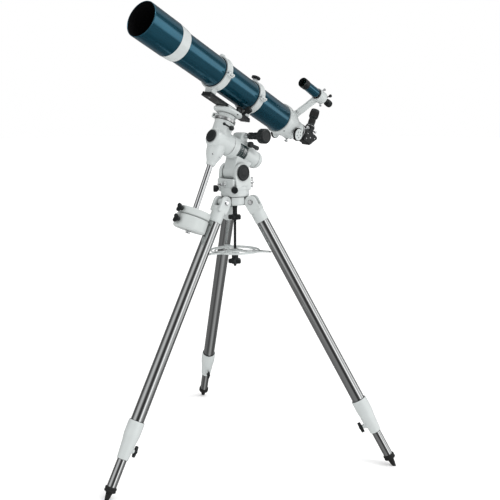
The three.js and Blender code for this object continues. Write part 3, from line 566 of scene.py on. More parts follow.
def leg(number, azimuth):
    a = radians(azimuth)
    frame_of = WORLD @ place((HINGE_RADIUS * cos(a), HINGE_RADIUS * sin(a), HINGE_HEIGHT),
                             (0, -LEG_SPREAD, azimuth))
    body = f"leg_{number}"

    bracket = Shape()
    ear = arc(0, 0, 22.6, -10, 190, 20) + [(-21.8, -26), (-20, -36), (20, -36), (21.8, -26)]
    for low, high in ((13.5, 24), (-24, -13.5)):
        bracket.plate(ear, low, high, turn=(90, 0, 0), bevel=1.5)
    bracket.turned([(24.3, BRACKET_BOTTOM), (24.3, -60), (23.8, -28), (20, -19.5)], soft=2)
    bracket.box((-21.8, -23.6, -40), (21.8, 23.6, -19), bevel=3)
    cuts = Shape(soft=0)
    cuts.box((-40, -13.4, -18.4), (40, 13.4, 40), bevel=0)
    for side in (-1, 1):
        cuts.rod(9.5, 22.6, 30, turn=(-90 * side, 0, 0))
    cuts.rod(LEG_TUBE_R - 1.4, BRACKET_BOTTOM - 5, BRACKET_BOTTOM + 6)
    piece(f"leg_yoke_{number}", cast(bracket, 0.9, 5, 0.4, cuts), frame_of, body,
          f"leg_bracket_{number}")
    bolt = Shape("chrome")
    bolt.rod(4, -24, 24, turn=(90, 0, 0))
    for side in (-1, 1):
        bolt.rod(8.2, 22.6, 24, turn=(-90 * side, 0, 0), soft=0.5)
        bolt.hexagon(12.5, 23.8, 28.4, turn=(-90 * side, 0, 0))
    piece(f"leg_bolt_{number}", bolt, frame_of, body)

    bottom, top = along(CLAMP_BOTTOM), along(CLAMP_TOP)
    tube_bottom = along(CLAMP_BOTTOM + 52)
    tube = Shape("steel")
    tube.ring(LEG_TUBE_R, LEG_TUBE_R - 1.5, tube_bottom, BRACKET_BOTTOM - 0.3, soft=0.4, sides=128)
    piece(f"leg_upper_{number}", tube, frame_of, body, f"leg_tube_{number}")
    plug = Shape("plastic")
    plug.turned([(LEG_TUBE_R - 2.6, BRACKET_BOTTOM - 30), (LEG_TUBE_R - 2.6, BRACKET_BOTTOM + 4)])
    piece(f"leg_plug_{number}", plug, frame_of, body)

    clamp = Shape()
    clamp.lathe([(17, bottom), (18.4, bottom), (19.9, bottom + 4), (21.6, bottom + 26),
                 (24.2, bottom + 60), (27.2, bottom + 80), (27.9, bottom + 90), (27.9, top - 5),
                 (26.6, top - 0.4), (23.4, top - 0.4), (23.4, bottom + 60), (17, bottom + 52)], soft=2)
    boss = bottom + 34
    clamp.box((-26.6, -7.5, boss - 10), (-17, 7.5, boss + 36), bevel=3)
    clamp.rod(8.2, -33.6, -18.4, at=(0, 0, boss), turn=RIGHT, soft=1.5)
    cuts = Shape(soft=0)
    cuts.rod(LEG_EXTENSION_R + 0.4, bottom - 5, top + 5)
    cuts.rod(LEG_TUBE_R + 0.3, tube_bottom, top + 5)
    cuts.rod(3.8, -60, -17, at=(0, 0, boss), turn=RIGHT)
    piece(f"leg_collar_{number}", cast(clamp, 0.9, 4, 0.4, cuts), frame_of, body,
          f"leg_clamp_{number}")
    trim = Shape("plastic")
    trim.ring(25.4, LEG_TUBE_R + 0.05, top - 0.6, top + 0.6, soft=0.3)
    trim.ring(18, LEG_EXTENSION_R + 0.05, bottom - 0.8, bottom + 0.4, soft=0.3)
    piece(f"leg_seal_{number}", trim, frame_of, body)

    knob = Shape("plastic")
    wing = (arc(16.5, 0, 3.6, -80, 80, 8) + [(8, 5.4)] + arc(0, 0, 6.6, 50, 130, 5) + [(-8, 5.4)]
            + arc(-16.5, 0, 3.6, 100, 260, 8) + [(-8, -5.4)] + arc(0, 0, 6.6, 230, 310, 5) + [(8, -5.4)])
    knob.plate(wing, 37, 47.6, bevel=1.6)
    knob.lathe([(0, 34.6), (6.6, 34.6), (7, 36), (7, 47), (6, 48.4), (0, 48.6)], soft=1)
    piece(f"leg_wing_{number}", knob, frame_of @ place((0, 0, boss), LEFT), f"leg_knob_{number}",
          f"leg_lock_knob_{number}")
    screw = Shape("chrome")
    screw.thread(3.1, 17.6, 37.5, 1.2)
    piece(f"leg_screw_{number}", screw, frame_of @ place((0, 0, boss), LEFT), f"leg_knob_{number}")

    lower = f"leg_lower_{number}"
    inner_top = along(700)
    inner = Shape("steel")
    inner.lathe([(LEG_EXTENSION_R - 1.5, along(FOOT_TOP + 0.3)), (LEG_EXTENSION_R, along(FOOT_TOP + 0.3)),
                 (LEG_EXTENSION_R, inner_top - 20), (LEG_TUBE_R - 2.1, inner_top - 18),
                 (LEG_TUBE_R - 2.1, inner_top), (LEG_EXTENSION_R - 1.5, inner_top)], soft=0.3, sides=96)
    piece(f"leg_slide_{number}", inner, frame_of, lower, f"leg_extension_{number}")
    foot = Shape("rubber")
    foot.lathe([(r, along(z)) for r, z in ((0, -6), (5.2, -6), (6.4, 0), (8, 9), (8.8, 10), (9.2, 17),
                                           (10.6, 24), (12.6, 28.6), (18, 30), (20.2, 32), (20.2, 36),
                                           (19.4, 37), (19.4, 40), (20.2, 41), (20.2, 45),
                                           (18.4, FOOT_TOP), (14.4, FOOT_TOP), (14.4, FOOT_TOP + 24),
                                           (0, FOOT_TOP + 24))], soft=1)
    floor_cut = Shape("rubber")
    floor_cut.box((-60, -60, -60), (60, 60, 0), at=(0, 0, -LEG_LENGTH), turn=(0, LEG_SPREAD, 0), bevel=0)
    piece(f"leg_tip_{number}", machined(foot, floor_cut), frame_of, lower, f"leg_foot_{number}")


# ---- Mount base -----------------------------------------------------------------------------
PIVOT_Y, PIVOT_Z, BOLT_Z, AZ_KNOB_Z = -4, 1050, 1010, 992
CHEEK_IN, CHEEK_OUT, CHEEK_R = 30, 45, 33


def mount_base():
    base = Shape()
    base.lathe([(0, 966.4), (49.6, 966.4), (51.2, 968), (51.2, 974), (50, 976), (50, 990), (51, 992),
                (51, 996), (48, 1003), (0, 1004)], soft=1.5)
    cheek = ([(-32, 988), (38, 988), (38, 1024), (31, 1044)] + arc(PIVOT_Y, PIVOT_Z, CHEEK_R, 5, 175, 24)
             + [(-38.6, 1036), (-36, 1008)])
    for x0, x1 in ((CHEEK_IN + 0.4, CHEEK_OUT - 0.2), (-CHEEK_OUT + 0.2, -CHEEK_IN - 0.4)):
        base.plate(cheek, x0, x1, turn=(90, 0, 90), bevel=2.2)
    base.box((-40, -49, 998), (40, -38.4, 1029), bevel=3)
    base.box((-40, 30.4, 998), (40, 41, 1021), bevel=3)
    base.rod(9.6, 40, 55.6, at=(0, 0, BOLT_Z), turn=(90, 0, 0), soft=1.2)
    base.rod(9.6, 32, 53.6, at=(0, 0, BOLT_Z), turn=BACKWARD, soft=1.2)
    for angle in (225, 315):
        base.rod(10.2, 40, 56.6, at=(0, 0, AZ_KNOB_Z), turn=(0, 90, angle), soft=1.2)
    cuts = Shape(soft=0)
    cuts.box((-CHEEK_IN, -38, 1000), (CHEEK_IN, 30, 1120), bevel=0)
    cuts.rod(4.8, -90, 90, at=(0, 0, BOLT_Z), turn=(90, 0, 0))
    cuts.box((-13.5, -46.5, 950), (13.5, -31.5, 990), bevel=0)
    cuts.rod(6.6, 950, 985)
    for angle in (225, 315):
        cuts.rod(3.6, 44, 60, at=(0, 0, AZ_KNOB_Z), turn=(0, 90, angle))
        cuts.rod(13, 57.2, 90, at=(0, 0, AZ_KNOB_Z), turn=(0, 90, angle))
    piece("mount_fork", cast(base, 1.0, 5, 0.4, cuts), WORLD, "azimuth_head", "mount_base")

    # Altitude scale on the right cheek's front edge, with a pivot cap on the right side and a pivot nut on
    # the left.
    scale = Shape("ink")
    for k in range(13):
        a = radians(196 - 5 * k)
        outer = CHEEK_R - 1.6
        inner = outer - (4 if k % 2 else 6.5)
        mark = [(r * cos(a) - s * sin(a), r * sin(a) + s * cos(a))
                for r, s in ((inner, -0.35), (outer, -0.35), (outer, 0.35), (inner, 0.35))]
        scale.plate(mark, CHEEK_OUT - 0.5, CHEEK_OUT + 0.15, at=(0, PIVOT_Y, PIVOT_Z), turn=(90, 0, 90),
                    bevel=0)
    piece("altitude_scale", scale, WORLD, "azimuth_head", weighted=False)
    cap = Shape("plastic")
    cap.lathe([(0, 0), (26.2, 0), (28.3, 1.6), (28.3, 4), (26.4, 6), (22, 6.4), (20.5, 5.2), (12, 6.2),
               (10, 7.2), (0, 7.5)], soft=1.2)
    piece("pivot_cap_right", cap, WORLD @ place((CHEEK_OUT + 0.3, PIVOT_Y, PIVOT_Z), RIGHT), "azimuth_head",
          "latitude_pivot_cap")
    nut = Shape("chrome")
    nut.rod(14, 0, 1.6, soft=0.5)
    nut.hexagon(19, 1.4, 8)
    nut.rod(6, 7, 11, soft=0.8)
    piece("pivot_nut_left", nut, WORLD @ place((-CHEEK_OUT - 0.1, PIVOT_Y, PIVOT_Z), LEFT),
          "azimuth_head")

    for side, angle in (("left", 225), ("right", 315)):
        where = WORLD @ place((0, 0, AZ_KNOB_Z), (0, 90, angle))
        knob = Shape("plastic")
        knob.lobed(knurl(12.4, 28, 0.7), [(63, 0.86), (64, 0.96), (65.2, 1.0), (73.6, 1.0), (75.6, 0.96),
                                          (77, 0.86), (77.3, 0.6)])
        knob.turned([(6.8, 57.5), (7.6, 60), (10.6, 62), (11, 64)], soft=0.6)
        piece(f"azimuth_grip_{side}", knob, where, f"az_knob_{side}", f"azimuth_knob_{side}")
        screw = Shape("chrome")
        screw.thread(3.1, 45.2, 58, 1.2)
        piece(f"azimuth_screw_{side}", screw, where, f"az_knob_{side}")

    for name, side, reach, turn in (("front", -1, 66, 90), ("rear", 1, 88, 0)):
        where = WORLD @ place((0, 0, BOLT_Z), (-90 * side, 0, 0))
        start = side * PIVOT_Y + 9.5
        screw = Shape("chrome")
        screw.thread(4.1, start + 2, reach - 8, 1.5, sides=32)
        screw.turned([(2.6, start), (3.4, start + 3)], soft=0.5, sides=32)
        screw.turned([(4.4, reach - 9), (5.4, reach - 6), (5.4, reach + 4), (4.4, reach + 5)],
                     soft=0.8, sides=40)
        screw.rod(2.3, -14.5, 14.5, at=(0, 0, reach), turn=(90, 0, turn), sides=24)
        for end in (-1, 1):
            r = 16 * end
            screw.ball(3.7, at=(r * sin(radians(turn)), r * cos(radians(turn)), reach))
        piece(f"altitude_screw_{name}", screw, where, f"lat_screw_{name}", f"latitude_screw_{name}")


# ---- Polar head -----------------------------------------------------------------------------
WORM_Y, WORM_Z = 95, 54
LOCK_Y, LOCK_Z = 112, 28
ALTITUDE = 23.08


def polar_head():
    dy, dz = PIVOT_Y + 78, PIVOT_Z - 1164.3
    c, s = cos(radians(ALTITUDE)), sin(radians(ALTITUDE))
    lug_y, lug_z = dy * c - dz * s, dy * s + dz * c
    housing = Shape()
    housing.turned([(36.4, 47.2), (38.2, 49), (38.2, 58), (37.4, 59.4), (37.4, 62), (38.2, 63.4),
                    (38.2, 112), (36, 118), (34.4, 150), (31.6, 185.8)], turn=BACKWARD, soft=1.5)
    housing.rod(29.2, -29.2, 29.2, at=(0, lug_y, lug_z), turn=RIGHT, soft=2)
    housing.plate([(lug_y - 28.6, lug_z + 2), (lug_y + 28.6, lug_z + 2), (lug_y + 45, -24),
                   (lug_y - 33, -24)], -29, 29, turn=(90, 0, 90), bevel=3)
    housing.box((-23.6, -6.8, -43.6), (23.6, 6.8, 0), at=(0, lug_y, lug_z), turn=(ALTITUDE, 0, 0), bevel=1.5)
    housing.box((-23.6, WORM_Y - 16.6, 20), (23.6, WORM_Y + 16.6, WORM_Z + 4.6), bevel=3)
    housing.rod(11.8, -23.8, 23.8, at=(0, WORM_Y, WORM_Z), turn=RIGHT, soft=1.2)
    housing.rod(9.8, 22, 36.8, at=(0, LOCK_Y, LOCK_Z), turn=RIGHT, soft=1)
    cuts = Shape()
    cuts.rod(5, -40, 40, at=(0, WORM_Y, WORM_Z), turn=RIGHT, soft=0)
    piece("polar_barrel", cast(housing, 1.0, 5, 0.4, cuts), POLAR, "ra_body", "ra_housing")

    dome = Shape()
    dome.lathe([(0, 0), (31.4, 0), (31.4, 4)] + [(31.4 * cos(radians(t)), 4 + 26.8 * sin(radians(t)))
               for t in range(8, 88, 8)] + [(0, 30.8)], soft=0)
    piece("polar_dome", dome, POLAR @ place((0, 186.3, 0), BACKWARD), "ra_body", "polar_rear_cover")

    # Label plate on the right flank: a dark curved panel with plain silver rules.
    label = Shape("plate", turn=BACKWARD)
    label.lathe([(37.6, 74), (38.9, 74), (38.9, 115.4), (36.4, 115.4)], soft=0.3, sides=40, sweep=(-28, 44))
    for t0, t1, lo, hi in ((76, 77, -22, 38), (112, 113, -22, 38)):
        label.ring(39.1, 38.7, t0, t1, soft=0, sides=30, sweep=(lo, hi), mat="machined")
    for k in range(9):
        label.ring(39.08, 38.7, 82, 87 if k % 2 else 91, soft=0, sides=2, sweep=(-20 + 7 * k,
                                                            -19 + 7 * k), mat="machined")
    for t0 in (97, 103):
        label.ring(39.08, 38.7, t0, t0 + 2, soft=0, sides=24, sweep=(-14, 30), mat="machined")
    piece("polar_label", label, POLAR, "ra_body", weighted=False)

    # Right-ascension setting circle at the seam.
    circle = Shape("machined")
    circle.ring(37.6, 30, 44.6, 46.9, turn=BACKWARD, soft=0.3, sides=128)
    piece("polar_circle", circle, POLAR, "ra_body")

    knob = Shape("plastic")
    knob.lobed(knurl(26.3, 22, 1.5), [(98.5, 0.9), (99.6, 0.965), (101, 1.0), (121, 1.0), (122.6, 0.97),
                                      (123.8, 0.9)])
    knob.turned([(16, 93.5), (21, 96), (22.5, 99)], soft=1.2)
    knob.lathe([(0, 122), (22.6, 122), (23.2, 124.6), (21, 126.2), (17, 126.3), (15.5, 125.2),
                (0, 124.8)], soft=0.8)
    knob.turned([(11, 42), (12.4, 44), (12.4, 58), (11.2, 60), (11.2, 66), (12.4, 68), (12.4, 94)], soft=1)
    piece("slow_motion_grip", knob, POLAR @ place((0, WORM_Y, WORM_Z), RIGHT), "ra_knob",
          "ra_slow_motion_knob")
    shaft = Shape("chrome")
    shaft.rod(4.3, -20, 34, sides=32)
    shaft.turned([(9, 24.2), (9.4, 26), (9.4, 29), (8.4, 31), (8.4, 42.5)], soft=0.8)
    shaft.rod(2.2, 8, 13.4, at=(0, 0, 51), turn=(90, 0, 0), sides=20)
    piece("slow_motion_shaft", shaft, POLAR @ place((0, WORM_Y, WORM_Z), RIGHT), "ra_knob")
    stub = Shape("machined")
    stub.turned([(8.5, 24), (9, 25), (9, 30), (6, 31), (4, 36)], soft=0.6)
    piece("slow_motion_stub", stub, POLAR @ place((0, WORM_Y, WORM_Z), LEFT), "ra_body")

    lever = Shape("plastic")
    lever.turned([(10.6, 37.5), (10.9, 39), (10.9, 48.4), (9.4, 50), (4.5, 50), (3.8, 49.2)], soft=0.8)
    lever.plate([(-5.4, 0), (5.4, 0), (6.4, 20)] + arc(0, 33, 8.2, -20, 200, 14) + [(-6.4, 20)], 41.2,
                48.8, bevel=1.8)
    piece("polar_lock", lever, POLAR @ place((0, LOCK_Y, LOCK_Z), RIGHT), "ra_lever",
          "ra_lock_lever")


# ---- Declination head -----------------------------------------------------------------------
SHAFT_R, SHAFT_END = 10, -333


def declination_head():
    housing = Shape()
    housing.turned([(13.6, -93.8), (15.6, -91), (17.4, -80), (26.3, -60), (29.8, -48), (33.2, -20),
                    (33.8, 18), (33.8, 58), (35.2, 61.6), (35.2, 65.8), (31.6, 66), (31.6, 76.2),
                    (33.6, 76.4), (33.6, 91.4)], soft=1.2)
    housing.turned([(26.6, -35.9), (31.6, -33), (36.6, -22), (38.2, -8), (38.2, 44), (36.5, 45.8)],
                   turn=BACKWARD, soft=2.2)
    housing.rod(8.8, 28, 39.4, at=(0, 0, 46), turn=RIGHT, soft=0.8)
    housing.box((-53.8, -19.8, 74.2), (-28, 19.8, 90.8), bevel=1.6)
    cuts = Shape(soft=0)
    cuts.rod(SHAFT_R + 0.4, -100, -40)
    cuts.rod(4.8, -30, 30, at=(-43, 0, 82), turn=(90, 0, 0))
    piece("declination_barrel", cast(housing, 0.9, 4, 0.4, cuts), HEAD, "dec_body", "dec_housing")

    circle = Shape("machined")
    circle.ring(36.7, 32, 66.9, 75.6, soft=0.4, sides=110, sweep=(-146, 146))
    piece("declination_circle", circle, HEAD, "dec_body", "dec_setting_circle")
    marks = Shape("ink")
    for k in range(-28, 29):
        a = 5 * k
        tall = 5.2 if k % 2 == 0 else 3
        marks.box((36.3, -0.28, 67.4), (36.82, 0.28, 67.4 + tall), turn=(0, 0, a), bevel=0)
    piece("declination_marks", marks, HEAD, "dec_body", weighted=False)

    screws = Shape("chrome")
    for a in (20, 140, 260):
        screws.rod(2.6, 33.2, 35.4, at=(0, 0, 84), turn=(0, 90, a), sides=24, soft=0.5)
    for a in (-50, 10, 70):
        screws.rod(2.2, 25.4, 28.4, at=(0, 0, -58), turn=(0, 90, a), sides=24, soft=0.5)
    for x in (-49, -36):
        for y in (-14, 14):
            screws.rod(2.3, 90.2, 91.4, at=(x, y, 0), sides=24, soft=0.4)
    piece("declination_screws", screws, HEAD, "dec_body")

    cap = Shape("plastic")
    cap.lathe([(0, 0), (20.4, 0), (22, 1.4), (22, 4.2), (20, 6), (17, 6.3), (15.8, 5.2), (0, 5.6)], soft=1)
    piece("polar_cap", cap, HEAD @ place((0, -36.3, 0), FORWARD), "dec_body", "polar_front_cap")

    lever = Shape("plastic")
    lever.turned([(8.1, 40), (8.3, 41), (8.3, 48.6), (7.2, 49.8)], soft=0.8)
    lever.lathe([(0, 0), (3.6, 0), (2.8, 16), (3.2, 32), (4.6, 35)] + [
        (5.3 * cos(radians(t)), 38 + 5.3 * sin(radians(t))) for t in range(-30, 90, 15)] + [(0, 43.3)],
        at=(0, 0, 45), turn=(90, 0, 0), soft=0, sides=40)
    piece("declination_lock", lever, HEAD @ place((0, 0, 46), RIGHT), "dec_lever", "dec_lock_lever")

    knob = Shape("plastic")
    knob.lobed(knurl(12.8, 18, 0.9), [(42.5, 0.9), (43.4, 0.97), (44.6, 1.0), (60.6, 1.0), (62, 0.97),
                                      (63.4, 0.9)])
    knob.turned([(6.4, 20.6), (6.9, 22), (6.9, 38), (11, 42), (11, 44)], soft=0.8)
    piece("declination_grip", knob, HEAD @ place((-43, 0, 82), BACKWARD), "dec_knob",
          "dec_slow_motion_knob")
    worm = Shape("brass")
    worm.thread(4.0, -12, 20.4, 2.2)
    piece("declination_worm", worm, HEAD @ place((-43, 0, 82), BACKWARD), "dec_knob")

    shaft = Shape("chrome")
    shaft.turned([(9, SHAFT_END), (10, SHAFT_END + 1), (10, -44)], soft=0.3, sides=96)
    shaft.turned([(7.2, SHAFT_END - 8), (8, SHAFT_END - 7), (8, SHAFT_END - 3.6), (5.2, SHAFT_END - 3),
                  (5.2, SHAFT_END + 1)], soft=0.5)
    piece("weight_shaft", shaft, HEAD, "dec_body", "counterweight_shaft")


def counterweights():
    for suffix, low, high in (("lower", -331, -283), ("upper", -282.4, -256)):
        middle = (low + high) / 2
        weight = Shape("iron")
        weight.lathe([(10.5, low), (38, low), (40, low + 1.6), (47, low + 1.6), (49, low), (52, low),
                      (57.3, low + 5), (57.3, high - 3.4), (54.4, high), (44, high), (42, high - 1.4),
                      (22, high - 1.4), (20, high), (10.5, high)], soft=1.4, sides=144)
        cuts = Shape("iron")
        cuts.rod(4.6, 12, 80, at=(0, 0, middle), turn=FORWARD, soft=0)
        piece(f"weight_{suffix}_disc", machined(weight, cuts), HEAD, f"weight_{suffix}",
              f"counterweight_{suffix}")
        knob = Shape("plastic")
        knob.lobed(star(3, 7.4, 15.8, 0.75), domed(64.2, 74, 2.4))
        knob.turned([(7.8, 58), (7.9, 60), (7.9, 65)], soft=0.6)
        knob.lathe([(0, 73), (5, 73), (5, 74.6), (0, 75)], soft=0.5)
        where = HEAD @ place((0, 0, middle), FORWARD)
        piece(f"weight_{suffix}_grip", knob, where, f"weight_knob_{suffix}",
              f"counterweight_knob_{suffix}")
        screw = Shape("chrome")
        screw.thread(3.9, 11.4, 60, 1.5)
        piece(f"weight_{suffix}_screw", screw, where, f"weight_knob_{suffix}")


# ---- Saddle, bar and rings ------------------------------------------------------------------
BAR_TOP = 121.5
RING_WIDTH, PIN_X, TUBE_R = 28, 66.5, 52


def saddle():
    flange = Shape()
    flange.turned([(34, 92.2), (44, 95), (51.4, 99), (51.8, 101), (51.8, 105), (50, 106.8)], soft=1.6)
    for low, high in ((-31, -21.6), (21.6, 31)):
        flange.box((low, -35.6, 100), (high, 35.6, 115.6), bevel=2)
    flange.box((29, -9, 100), (40, 9, 113.6), bevel=2)
    piece("saddle_flange", cast(flange, 0.9, 4, 0.4), DEC, "saddle_body", "dec_saddle")

    bar = Shape("anodised")
    profile = [(-21, 107.3), (21, 107.3), (21, 113), (18.6, 116), (18, 121.5), (13, 121.5), (12, 119.6),
               (-12, 119.6), (-13, 121.5), (-18, 121.5), (-18.6, 116), (-21, 113)]
    bar.plate(profile, -100, 128, turn=(90, 0, 0), bevel=0.7)
    piece("mounting_bar", bar, DEC, "saddle_body", "dovetail_bar")

    fittings = Shape("chrome")
    for y in (-118, 90):
        fittings.rod(3.8, 104.4, 107.6, at=(10, y, 0), sides=32, soft=0.6)
    fittings.rod(5, 39, 42, at=(0, 0, 107.5), turn=RIGHT, sides=32)
    fittings.thread(3, 21, 42, 1.2, at=(0, 0, 107.5), turn=RIGHT)
    piece("saddle_screws", fittings, DEC, "saddle_body")
    knob = Shape("plastic")
    knob.lobed(star(5, 8.5, 12.4, 0.8), domed(41.6, 50, 2), at=(0, 0, 107.5), turn=RIGHT)
    knob.lobed(knurl(11.4, 20, 0.8), domed(122, 138.5, 2), at=(4, 47, 0))
    knob.rod(5.2, -12, 10, at=(30, 50, 123), turn=(0, 48, 0), soft=0.5)
    knob.lobed(knurl(12.2, 18, 1.0), domed(8, 26, 2.2), at=(30, 50, 123), turn=(0, 48, 0))
    piece("saddle_grips", knob, DEC, "saddle_body")


def tube_ring(name, node, middle, body):
    bore, half = TUBE_R + 0.5, RING_WIDTH / 2
    profile = [(bore + 0.5, -half + 0.2), (58.8, -half + 0.2), (59.8, -half + 1.4), (59.8, -half + 5),
               (58.6, -half + 6.4), (58.6, half - 6.4), (59.8, half - 5), (59.8, half - 1.4),
               (58.8, half - 0.2), (bore + 0.5, half - 0.2)]
    where = OTA @ place((0, -middle, 0))
    lower = Shape()
    lower.lathe(profile, turn=FORWARD, soft=0.8, sides=90, sweep=(180.3, 359.7))
    lower.box((57, -half, -8.8), (PIN_X, half, -0.5), bevel=1)
    lower.box((-73.6, -8.8, -8.8), (-57, 8.8, -0.5), bevel=1.6)
    lower.plate([(-15.8, BAR_TOP - OTA_HEIGHT + 0.6), (15.8, BAR_TOP - OTA_HEIGHT + 0.6), (19, -54),
                 (-19, -54)], -11.6, 11.6, turn=(90, 0, 0), bevel=1.2)
    for y0, y1 in ((-half, -5.8), (5.8, half)):
        lower.rod(4.9, y0, y1, at=(PIN_X, 0, 0), turn=BACKWARD, soft=0.5)
    cuts = Shape(soft=0)
    cuts.rod(bore + 0.5, -40, 40, turn=FORWARD, sides=128)
    cuts.rod(5.7, -5.7, 5.7, at=(PIN_X, 0, 0), turn=BACKWARD)
    piece(f"{name}_cradle", cast(lower, 0.8, 4, 0.4, cuts), where, "saddle_body", f"{node}_lower")
    upper = Shape()
    upper.lathe(profile, turn=FORWARD, soft=0.8, sides=90, sweep=(0.3, 179.7))
    upper.box((57, -4.9, 0.5), (PIN_X, 4.9, 8.8), bevel=1)
    upper.rod(4.9, -4.9, 4.9, at=(PIN_X, 0, 0), turn=BACKWARD, soft=0.5)
    upper.box((-73.6, -8.8, 0.5), (-57, 8.8, 8.8), bevel=1.6)
    upper.turned([(9.6, 56), (8.8, 60), (8.8, 65.2), (8, 66)], soft=0.8)
    cuts = Shape()
    cuts.rod(bore + 0.5, -40, 40, turn=FORWARD, sides=128, soft=0)
    piece(f"{name}_cap", cast(upper, 0.8, 4, 0.4, cuts), where, body, f"{node}_upper")

    for part, sweep, rides in (("low", (181, 359), "saddle_body"), ("high", (1, 179), body)):
        felt = Shape("felt")
        felt.ring(bore + 0.6, TUBE_R + 0.12, -half - 0.7, half + 0.7, turn=FORWARD, soft=0.2, sides=90,
                  sweep=sweep)
        piece(f"{name}_felt_{part}", felt, where, rides, weighted=False)
    pin = Shape("chrome")
    pin.rod(2, -half - 1.2, half + 1.2, at=(PIN_X, 0, 0), turn=BACKWARD, sides=24)
    piece(f"{name}_pin", pin, where, "saddle_body")
    clamp = Shape("chrome")
    clamp.thread(2.4, -7, 16, 1.1, at=(-66, 0, 0))
    clamp.rod(4.4, 8.6, 10, at=(-66, 0, 0), sides=32)
    piece(f"{name}_bolt", clamp, where, body)
    nut = Shape("plastic")
    nut.lobed(knurl(8.6, 16, 0.7), domed(12, 24, 1.4), at=(-66, 0, 0))
    nut.turned([(5, 9.6), (6, 12.4)], at=(-66, 0, 0), soft=0.4)
    piece(f"{name}_nut", nut, where, body)


def camera_knob():
    where = OTA @ place((0, 80.5, 0))
    post = Shape("chrome")
    post.rod(3.2, 60, 70, sides=32)
    post.turned([(6.4, 66), (6.4, 68)], soft=0.4)
    piece("camera_post", post, where, "ring_rear_top")
    knob = Shape("plastic")
    knob.lobed(knurl(16.4, 36, 0.6), [(68.6, 0.93), (69.4, 0.985), (70.4, 1.0), (74, 1.0), (75, 0.985),
                                      (75.8, 0.93)])
    knob.turned([(7.5, 67), (9, 69)], soft=0.5)
    piece("camera_knob", knob, where, "ring_rear_top")


# ---- Optical tube ---------------------------------------------------------------------------
PINION_L, PINION_U, DIAGONAL_L = 342, -31.6, 470


def optical_tube():
    tube = Shape("blue", turn=FORWARD)
    tube.lathe([(50.3, -287.8), (52, -287.8), (52, 329.8), (50.3, 329.8, "flocked")], soft=0.3, sides=160)
    for stop in (-190, -60, 70, 200):
        tube.ring(50.35, 44, stop, stop + 1, mat="flocked", soft=0)
    piece("tube_shell", tube, OTA, "tube_body", "main_tube")

    cell = Shape("white")
    cell.lathe([(52.15, 311.6), (54.8, 311.6), (55.4, 312.6), (58.3, 350.4), (58.6, 352), (58.3, 354),
                (55.1, 354), (55.1, 375.8, "anodised"), (51.1, 375.8), (51.1, 338), (48.1, 336),
                (48.1, 330.5), (52.15, 330.5)], turn=FORWARD, soft=0.6, sides=160)
    piece("lens_cell", cell, OTA, "tube_body", "objective_cell")
    glass = Shape("glass")
    front = [(50.4 * cos(radians(t)), 349.6 + 6.6 * sin(radians(t))) for t in range(12, 90, 6)]
    glass.lathe([(0, 337.8), (26, 338.2), (50.4, 339.4), (50.4, 350.9)] + front + [(0, 356.2)], turn=FORWARD,
                soft=0, sides=128)
    piece("lens_glass", glass, OTA, "tube_body", "objective_lens", weighted=False)
    collar = Shape("anodised", turn=FORWARD)
    collar.lathe([(48.9, 352.6), (51, 352.6), (51, 359), (50.4, 359.4), (49.4, 358.4), (48.9, 355)],
                 soft=0.3, sides=128)
    for angle in (30, 150, 270):
        collar.ring(51, 49.2, 358, 360.4, soft=0.2, sides=6, sweep=(angle - 4, angle + 4))
    piece("lens_collar", collar, OTA, "tube_body")

    shield = Shape("blue", turn=FORWARD)
    shield.lathe([(55.7, 354.5), (58.4, 354.5), (58.4, 481), (57.8, 482.6), (56.6, 483),
                  (55.7, 481.6, "flocked")], soft=0.4, sides=160)
    for low in (398, 418, 438, 458):
        shield.ring(55.8, 54.9, low, low + 1, mat="flocked", soft=0)
    piece("shield_shell", shield, OTA, "dew_shield_body", "dew_shield")


def rear_casting():
    casting = Shape()
    casting.turned([(56.2, -268), (57.4, -269.4), (57.6, -271), (57.6, -290), (55.6, -298), (49, -330),
                    (41, -352), (35, -368), (33.6, -393), (32.4, -395)], turn=FORWARD, soft=1.5, sides=128)
    casting.box((-19, PINION_L - 20, -46), (19, PINION_L + 24, -18), bevel=4)
    casting.rod(9.5, -42, 42, at=(0, PINION_L, PINION_U), turn=RIGHT, soft=1.2)
    casting.box((-9, -12, 40), (9, 12, 60.6), at=(0, 314, 0), turn=(0, 45, 0), bevel=2)
    casting.rod(5, 44, 49, at=(0, 354, 0), turn=(0, 180, 0), soft=1)
    cuts = Shape("flocked", soft=0)
    cuts.rod(52.25, -289.4, -250, turn=FORWARD, sides=128)
    cuts.turned([(27.4, -342), (46, -302), (49, -288)], turn=FORWARD, sides=128)
    cuts.rod(26.3, -420, -330, turn=FORWARD, sides=96)
    cuts.rod(4.4, -50, 50, at=(0, PINION_L, PINION_U), turn=RIGHT, sides=32)
    piece("rear_cell", cast(casting, 1.0, 5, 0.4, cuts), OTA, "tube_body", "focuser_housing")

    trim = Shape("plastic")
    trim.ring(29.6, 26.1, -395.6, -394.2, turn=FORWARD, soft=0.3)
    piece("drawtube_seal", trim, OTA, "tube_body")
    screws = Shape("chrome")
    for angle in (-40, 50, 140, 230):
        screws.rod(2.8, 56.8, 59, at=(0, 279, 0), turn=(0, angle, 0), sides=24, soft=0.6)
    for x in (-13, 13):
        for y in (PINION_L - 14, PINION_L + 18):
            screws.rod(2.3, 45.4, 47.4, at=(x, y, 0), turn=(0, 180, 0), sides=24, soft=0.5)
    piece("casting_screws", screws, OTA, "tube_body")
    lock = Shape("chrome")
    lock.thread(2.4, 40, 56, 1.1, at=(0, 354, 0), turn=(0, 180, 0))
    lock.turned([(4.4, 49.4), (4.4, 51)], at=(0, 354, 0), turn=(0, 180, 0), soft=0.4, sides=32)
    lock.lobed(knurl(6.6, 24, 0.5), domed(55, 60.6, 1.2), at=(0, 354, 0), turn=(0, 180, 0))
    piece("focus_lock", lock, OTA, "tube_body")


